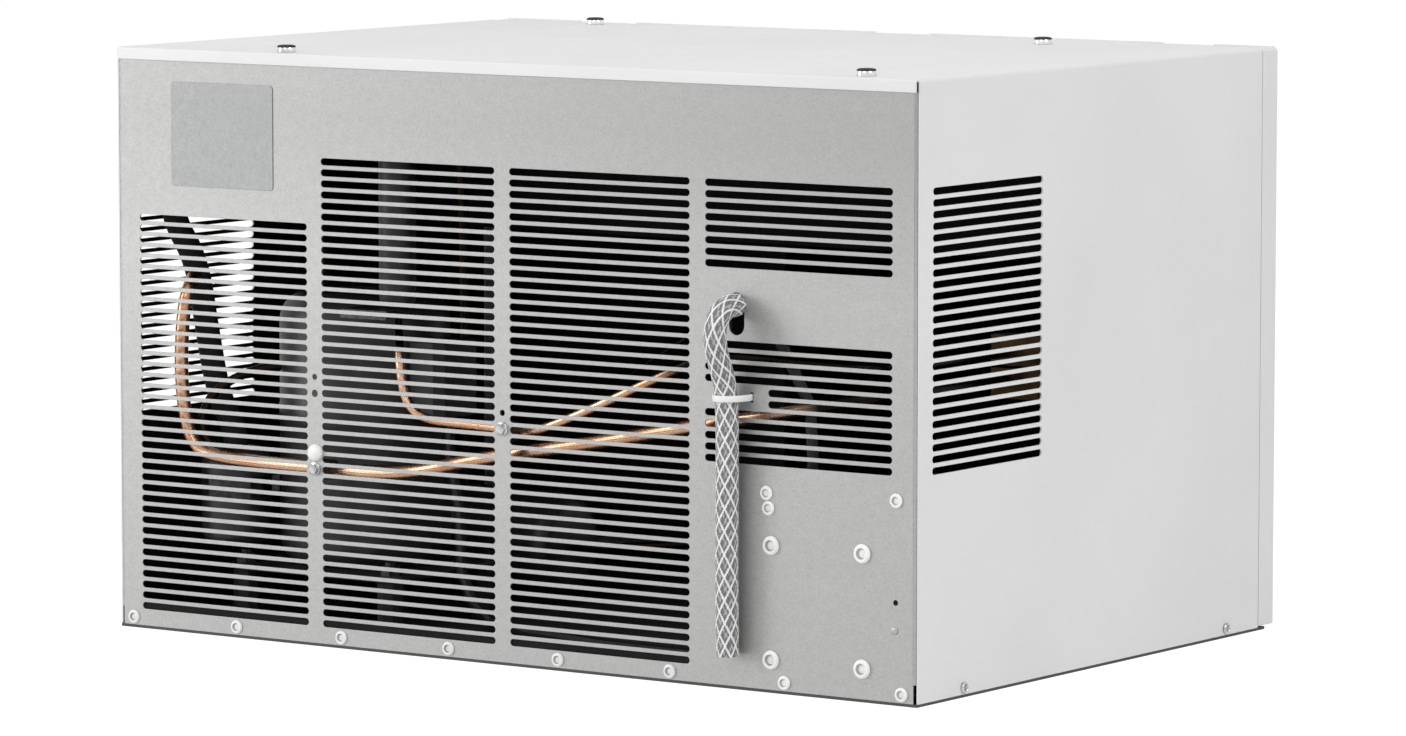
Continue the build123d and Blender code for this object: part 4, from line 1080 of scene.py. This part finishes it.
# %% Compressor, accumulator, receiver and drier


def pot_profile(radius, low, high, crown, belt=0.0, steps=7):
    """A welded can: rolled bottom, straight wall with an optional lap belt, rolled top."""
    points = [(0.0, low)]
    for i in range(steps + 1):
        turn = pi / 2 * i / steps
        points.append((radius * (0.72 + 0.28 * sin(turn)), low + crown * (1 - cos(turn))))
    if belt:
        middle = low + 0.56 * (high - low)
        points += [(radius, middle - 7), (radius + belt, middle - 6), (radius + belt, middle + 6),
                   (radius, middle + 7)]
    for i in range(steps + 1):
        turn = pi / 2 * (1 - i / steps)
        points.append((radius * (0.72 + 0.28 * sin(turn)), high - crown * (1 - cos(turn))))
    return points + [(0.0, high)]


def upright_at(node):
    """A place on the floor under the middle of a node's box."""
    low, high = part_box(node)
    return Matrix.Translation(((low[0] + high[0]) / 2, (low[1] + high[1]) / 2, 0))


COMPRESSOR = (-199.8 * MM, -116.1 * MM)
comp_at = Matrix.Translation((*COMPRESSOR, 0))
foot_holes = [(sx * 63 * MM, sy * 54 * MM) for sx in (-1, 1) for sy in (-1, 1)]
foot_loops = [rounded(0, 0, 150 * MM, 132 * MM, 16 * MM)] + [disc(x, y, 5 * MM) for x, y in foot_holes]
foot_sheet = flat_sheet("foot", foot_loops, 4 * MM, comp_at @ Matrix.Translation((0, 0, 44 * MM)), 0.5 * MM)
shell = spun(pot_profile(59.4, 42, 232, 20, 0.6), [comp_at], 72)
place(joined("compressor", [shell, foot_sheet]), "compressor_pot", black_enamel, "black_paint",
      ["compressor_shell"])
place(spun(pot_profile(24, 58, 124, 9), [upright_at("accumulator")], 48), "accumulator_can",
      black_enamel, "black_paint", ["accumulator"])
low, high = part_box("receiver_tank")
tank_at = (Matrix.Translation((low[0], (low[1] + high[1]) / 2, (low[2] + high[2]) / 2))
           @ Matrix.Rotation(pi / 2, 4, "Y"))
place(spun(pot_profile(37.4, 0, 190, 14, 0.5), [tank_at], 56), "receiver_body", black_enamel, "black_paint",
      ["receiver_tank"])
place(spun(pot_profile(12.7, 232, 356, 10), [upright_at("filter_drier")], 40), "drier_body",
      dark_coat, "dark_steel", ["filter_drier"])
print("shell faces:", len(shell.polygons))

# %% [markdown]
# A condenser coil is a stack of thin aluminium fins on rows of copper tube. The solid model keeps it
# as one block. Here every fin is a separate thin leaf, drawn a little further apart than the real
# ones so that they show, between its end plates.

# %% Coil fins and return bends


def fin_stack(pitch=2.4 * MM, ripple=0.35 * MM, steps=6):
    """Thin rippled leaves side by side; the two outermost are plain."""
    low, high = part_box("coil_fins")
    count = int((high[0] - low[0]) / pitch)

    def build(work):
        for i in range(count + 1):
            x = low[0] + 0.2 * MM + i * (high[0] - low[0] - 0.4 * MM) / count
            rows = []
            for k in range(steps + 1):
                y = low[1] + (high[1] - low[1]) * k / steps
                offset = ripple * (1 if k % 2 else -1) * (0 if i in (0, count) else 1)
                rows.append([work.verts.new((x + offset, y, z)) for z in (low[2], high[2])])
            for before, after in zip(rows, rows[1:]):
                work.faces.new((before[0], after[0], after[1], before[1]))
        bmesh.ops.solidify(work, geom=work.faces[:], thickness=0.15 * MM)
    return mesh_from("fins", build)


# painted shade: the fins are aluminium, given a near black because they sit in shade
shaded_fin = galvanised_sheet("aluminium_fin_painted_shade", "#303132", "#424344", "#424344", 0.6, 0.45)
fins = place(fin_stack(), "coil_fin_stack", shaded_fin, "aluminium_fins", ["coil_fins"], smooth=False)


def u_bends(pitch=25.4, coil_y=95):
    """Return bends as half circles between pairs of tube ends."""
    rows = [140.0 + (i - 3.5) * pitch for i in range(8)]
    meshes = []
    for face, out, joined_rows in ((23.5, -1, rows[1:-1]), (301.5, 1, rows)):
        for low_row in joined_rows[::2]:
            middle = low_row + pitch / 2
            path = [(face, low_row)]
            for i in range(13):
                turn = -pi / 2 + pi * i / 12
                path.append((face + out * (2 + 0.5 * pitch * cos(turn)),
                             middle + 0.5 * pitch * sin(turn)))
            path.append((face, low_row + pitch))
            spots = [Vector((x, coil_y, z)) * MM for x, z in path]
            meshes.append(swept_ring(spots, 4.1 * MM, Vector((0, 1, 0))))
    return joined("u_bends", meshes)


def swept_ring(path, radius, side, segments=16):
    """A round tube mesh along a list of points, closed at both ends."""
    def build(work):
        rows = []
        for here, across, up in frames_along(path, side):
            rows.append([work.verts.new(here + across * (radius * cos(tau * k / segments))
                                        + up * (radius * sin(tau * k / segments))) for k in range(segments)])
        for low_row, high_row in zip(rows, rows[1:]):
            quads_between(work, low_row, high_row)
        work.faces.new(rows[0])
        work.faces.new(rows[-1])
        bmesh.ops.recalc_face_normals(work, faces=work.faces)
    return mesh_from("ring", build)


bends = place(u_bends(), "return_bends", shaded_copper, "copper", ["coil_bends"])
print("fin faces:", len(fins.data.polygons), "bend faces:", len(bends.data.polygons))

# %% [markdown]
# The fan is one moulding in black glass-filled nylon: a hub with five broad blades, each bowed and
# pitched so that it scoops air. Each blade is a small grid of points, bent by formula and given an
# even thickness. Its tip is swept to one side, and its outer corners are rounded.

# %% The fan wheel
FAN_CENTRE = (162.5 * MM, 140.0 * MM)
BLADES = 5
ROOT, TIP = 21, 100.8       # radii in mm


def fan_wheel():
    """The hub and its blades as one mesh."""
    low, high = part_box("fan_blade")
    hub_y = 126.0 * MM
    middle_y = (low[1] + high[1]) / 2
    hub_at = Matrix.Translation((FAN_CENTRE[0], hub_y, FAN_CENTRE[1])) @ Matrix.Rotation(-pi / 2, 4, "X")
    hub = spun([(4.0, 0), (19, 0), (21.4, 1.2), (22, 3), (22, 21), (21.4, 22.8), (19, 24), (4.0, 24)],
               [hub_at], 48)

    def build(work):
        across, outward = 12, 10
        for blade in range(BLADES):
            turn0 = tau * blade / BLADES
            grid = []
            for j in range(outward + 1):
                v = j / outward
                radius = (ROOT + (TIP - ROOT) * v) * MM
                row = []
                for i in range(across + 1):
                    u = 2 * i / across - 1
                    round_tip = 1 - 0.32 * max(0.0, v - 0.72) / 0.28 * u * u
                    spread = radians(30) * (0.62 + 0.34 * v)
                    angle = turn0 + u * spread + 0.22 * v * v
                    reach = ROOT * MM + (radius - ROOT * MM) * round_tip
                    lift = -u * (9.5 + 4.5 * v) * MM + 2.2 * MM * (u * u - 0.4)
                    row.append(work.verts.new((FAN_CENTRE[0] + reach * cos(angle), middle_y + lift,
                                               FAN_CENTRE[1] + reach * sin(angle))))
                grid.append(row)
            for j in range(outward):
                for i in range(across):
                    work.faces.new((grid[j][i], grid[j][i + 1], grid[j + 1][i + 1], grid[j + 1][i]))
        bmesh.ops.solidify(work, geom=work.faces[:], thickness=1.6 * MM)
        bmesh.ops.recalc_face_normals(work, faces=work.faces)
    return joined("wheel", [hub, mesh_from("blades", build)])


wheel = place(fan_wheel(), "fan_wheel", black_nylon, "black_plastic", ["fan_blade"], body="fan")
print("fan wheel faces:", len(wheel.data.polygons))

# %% [markdown]
# The other solids already have their true shape, so they only take their finish. The bevel in the
# coats, sheets and mouldings rounds their edges to the eye, as a deburred or moulded edge is.

# %% Finishes of the remaining solids
FINISHES = (
    (white_coat, "front_bezel"),
    (pan_coat, "base_pan"),
    (dark_coat, "front_grille", "fan_motor", "run_capacitor", "receiver_feet"),
    (foam_skin, "acoustic_foam"),
    # the inner sheet parts take the near black of painted shade
    (shaded_inner_sheet, "coil_end_plates", "fan_shroud", "motor_bracket", "air_baffle", "electrical_box",
     "electrical_lid"),
    (zinc_plate, "fan_shaft"),
    # inner bolts and straps take the darkened zinc of painted shade
    (shaded_zinc, "motor_bolts", "compressor_bolts", "accumulator_strap", "drier_bracket"),
    (black_nylon, "terminal_cover", "start_relay", "inner_harness", "pipe_clips"),
    (white_nylon, "terminal_strip"),
    (black_rubber, "compressor_grommets", "outlet_grommet"),
    # the valves take brass darkened as painted shade
    (brass, "line_valves"),
)
for finish, *nodes in FINISHES:
    for node in nodes:
        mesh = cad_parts[node].data
        mesh.materials.clear()
        mesh.materials.append(finish)
print("solids with their own finish:", sum(len(row) - 1 for row in FINISHES))

# %% [markdown]
# The studio is a pale floor that runs off into white, and four soft lamps. White in the background
# comes from what camera rays see, not from more light on the cabinet: the floor shows mostly its own
# white to the camera and keeps a part of its shading, so that the contact shadow stays. The front
# lamp stands high, so that a glossy top seen from the other side doesn't mirror it into the eye.

# %% Studio
WORLD_LIGHT, WORLD_SEEN = 0.44, 1.0   # strength for the light on the object, and as it is seen
FLOOR_SHARE, FLOOR_GLOW = 0.72, 1.25  # how much of the floor is its own white, and how bright


def seen_share(tree):
    """One for rays from the camera, a mirror or glass, and zero for the light on the object."""
    rays = add(tree, "ShaderNodeLightPath")
    share = rays.outputs["Is Camera Ray"]
    for kind in ("Is Glossy Ray", "Is Transmission Ray"):
        either = add(tree, "ShaderNodeMath", {"operation": "MAXIMUM"}, {0: share, 1: rays.outputs[kind]})
        share = either.outputs[0]
    return share


def studio():
    """The white world and the pale floor."""
    world = bpy.data.worlds.new("studio_world")
    bpy.context.scene.world = world
    world.use_nodes = True
    tree = world.node_tree
    tree.nodes.clear()
    strength = add(tree, "ShaderNodeMapRange", {"To Min": WORLD_LIGHT, "To Max": WORLD_SEEN},
                   {"Value": seen_share(tree)}).outputs["Result"]
    back = add(tree, "ShaderNodeBackground", {"Color": (1, 1, 1, 1)}, {"Strength": strength})
    add(tree, "ShaderNodeOutputWorld", links={"Surface": back.outputs[0]})

    material, tree, _ = start_material("studio_floor")
    share = add(tree, "ShaderNodeMath", {"operation": "MULTIPLY"}, {0: seen_share(tree)})
    share.inputs[1].default_value = FLOOR_SHARE
    matt = add(tree, "ShaderNodeBsdfDiffuse", {"Color": colour("#F4F4F4")})
    glow = add(tree, "ShaderNodeEmission", {"Color": (1, 1, 1, 1), "Strength": FLOOR_GLOW})
    links = {0: share.outputs[0], 1: matt.outputs[0], 2: glow.outputs[0]}
    close_material(material, add(tree, "ShaderNodeMixShader", links=links))

    def build(work):
        bmesh.ops.create_grid(work, x_segments=1, y_segments=1, size=12.0)
    floor = linked("floor", mesh_from("floor", build))
    floor.data.materials.append(material)


def lamp(name, spot, aim, size, power):
    """A soft rectangular lamp at a spot, turned to its aim, in metres and watts."""
    data = bpy.data.lights.new(name, "AREA")
    data.shape = "RECTANGLE"
    data.size, data.size_y = size
    data.energy = power
    piece = linked(name, data)
    direction = Vector(aim) - Vector(spot)
    piece.matrix_world = Matrix.Translation(spot) @ direction.to_track_quat("-Z", "Y").to_matrix().to_4x4()


studio()
lamp("left_lamp", (-2.45, -2.1, 0.95), (-0.3, -0.2, 0.15), (1.1, 1.5), 38)
lamp("front_lamp", (0.6, -2.9, 2.3), (0.0, -0.2, 0.15), (1.2, 1.2), 19)
lamp("right_lamp", (3.0, -0.5, 2.4), (0.3, 0.0, 0.25), (1.6, 1.6), 40)
lamp("top_lamp", (0.1, -0.5, 3.2), (0.0, 0.0, 0.3), (2.6, 2.6), 20)
print("lamps:", len(bpy.data.lights))
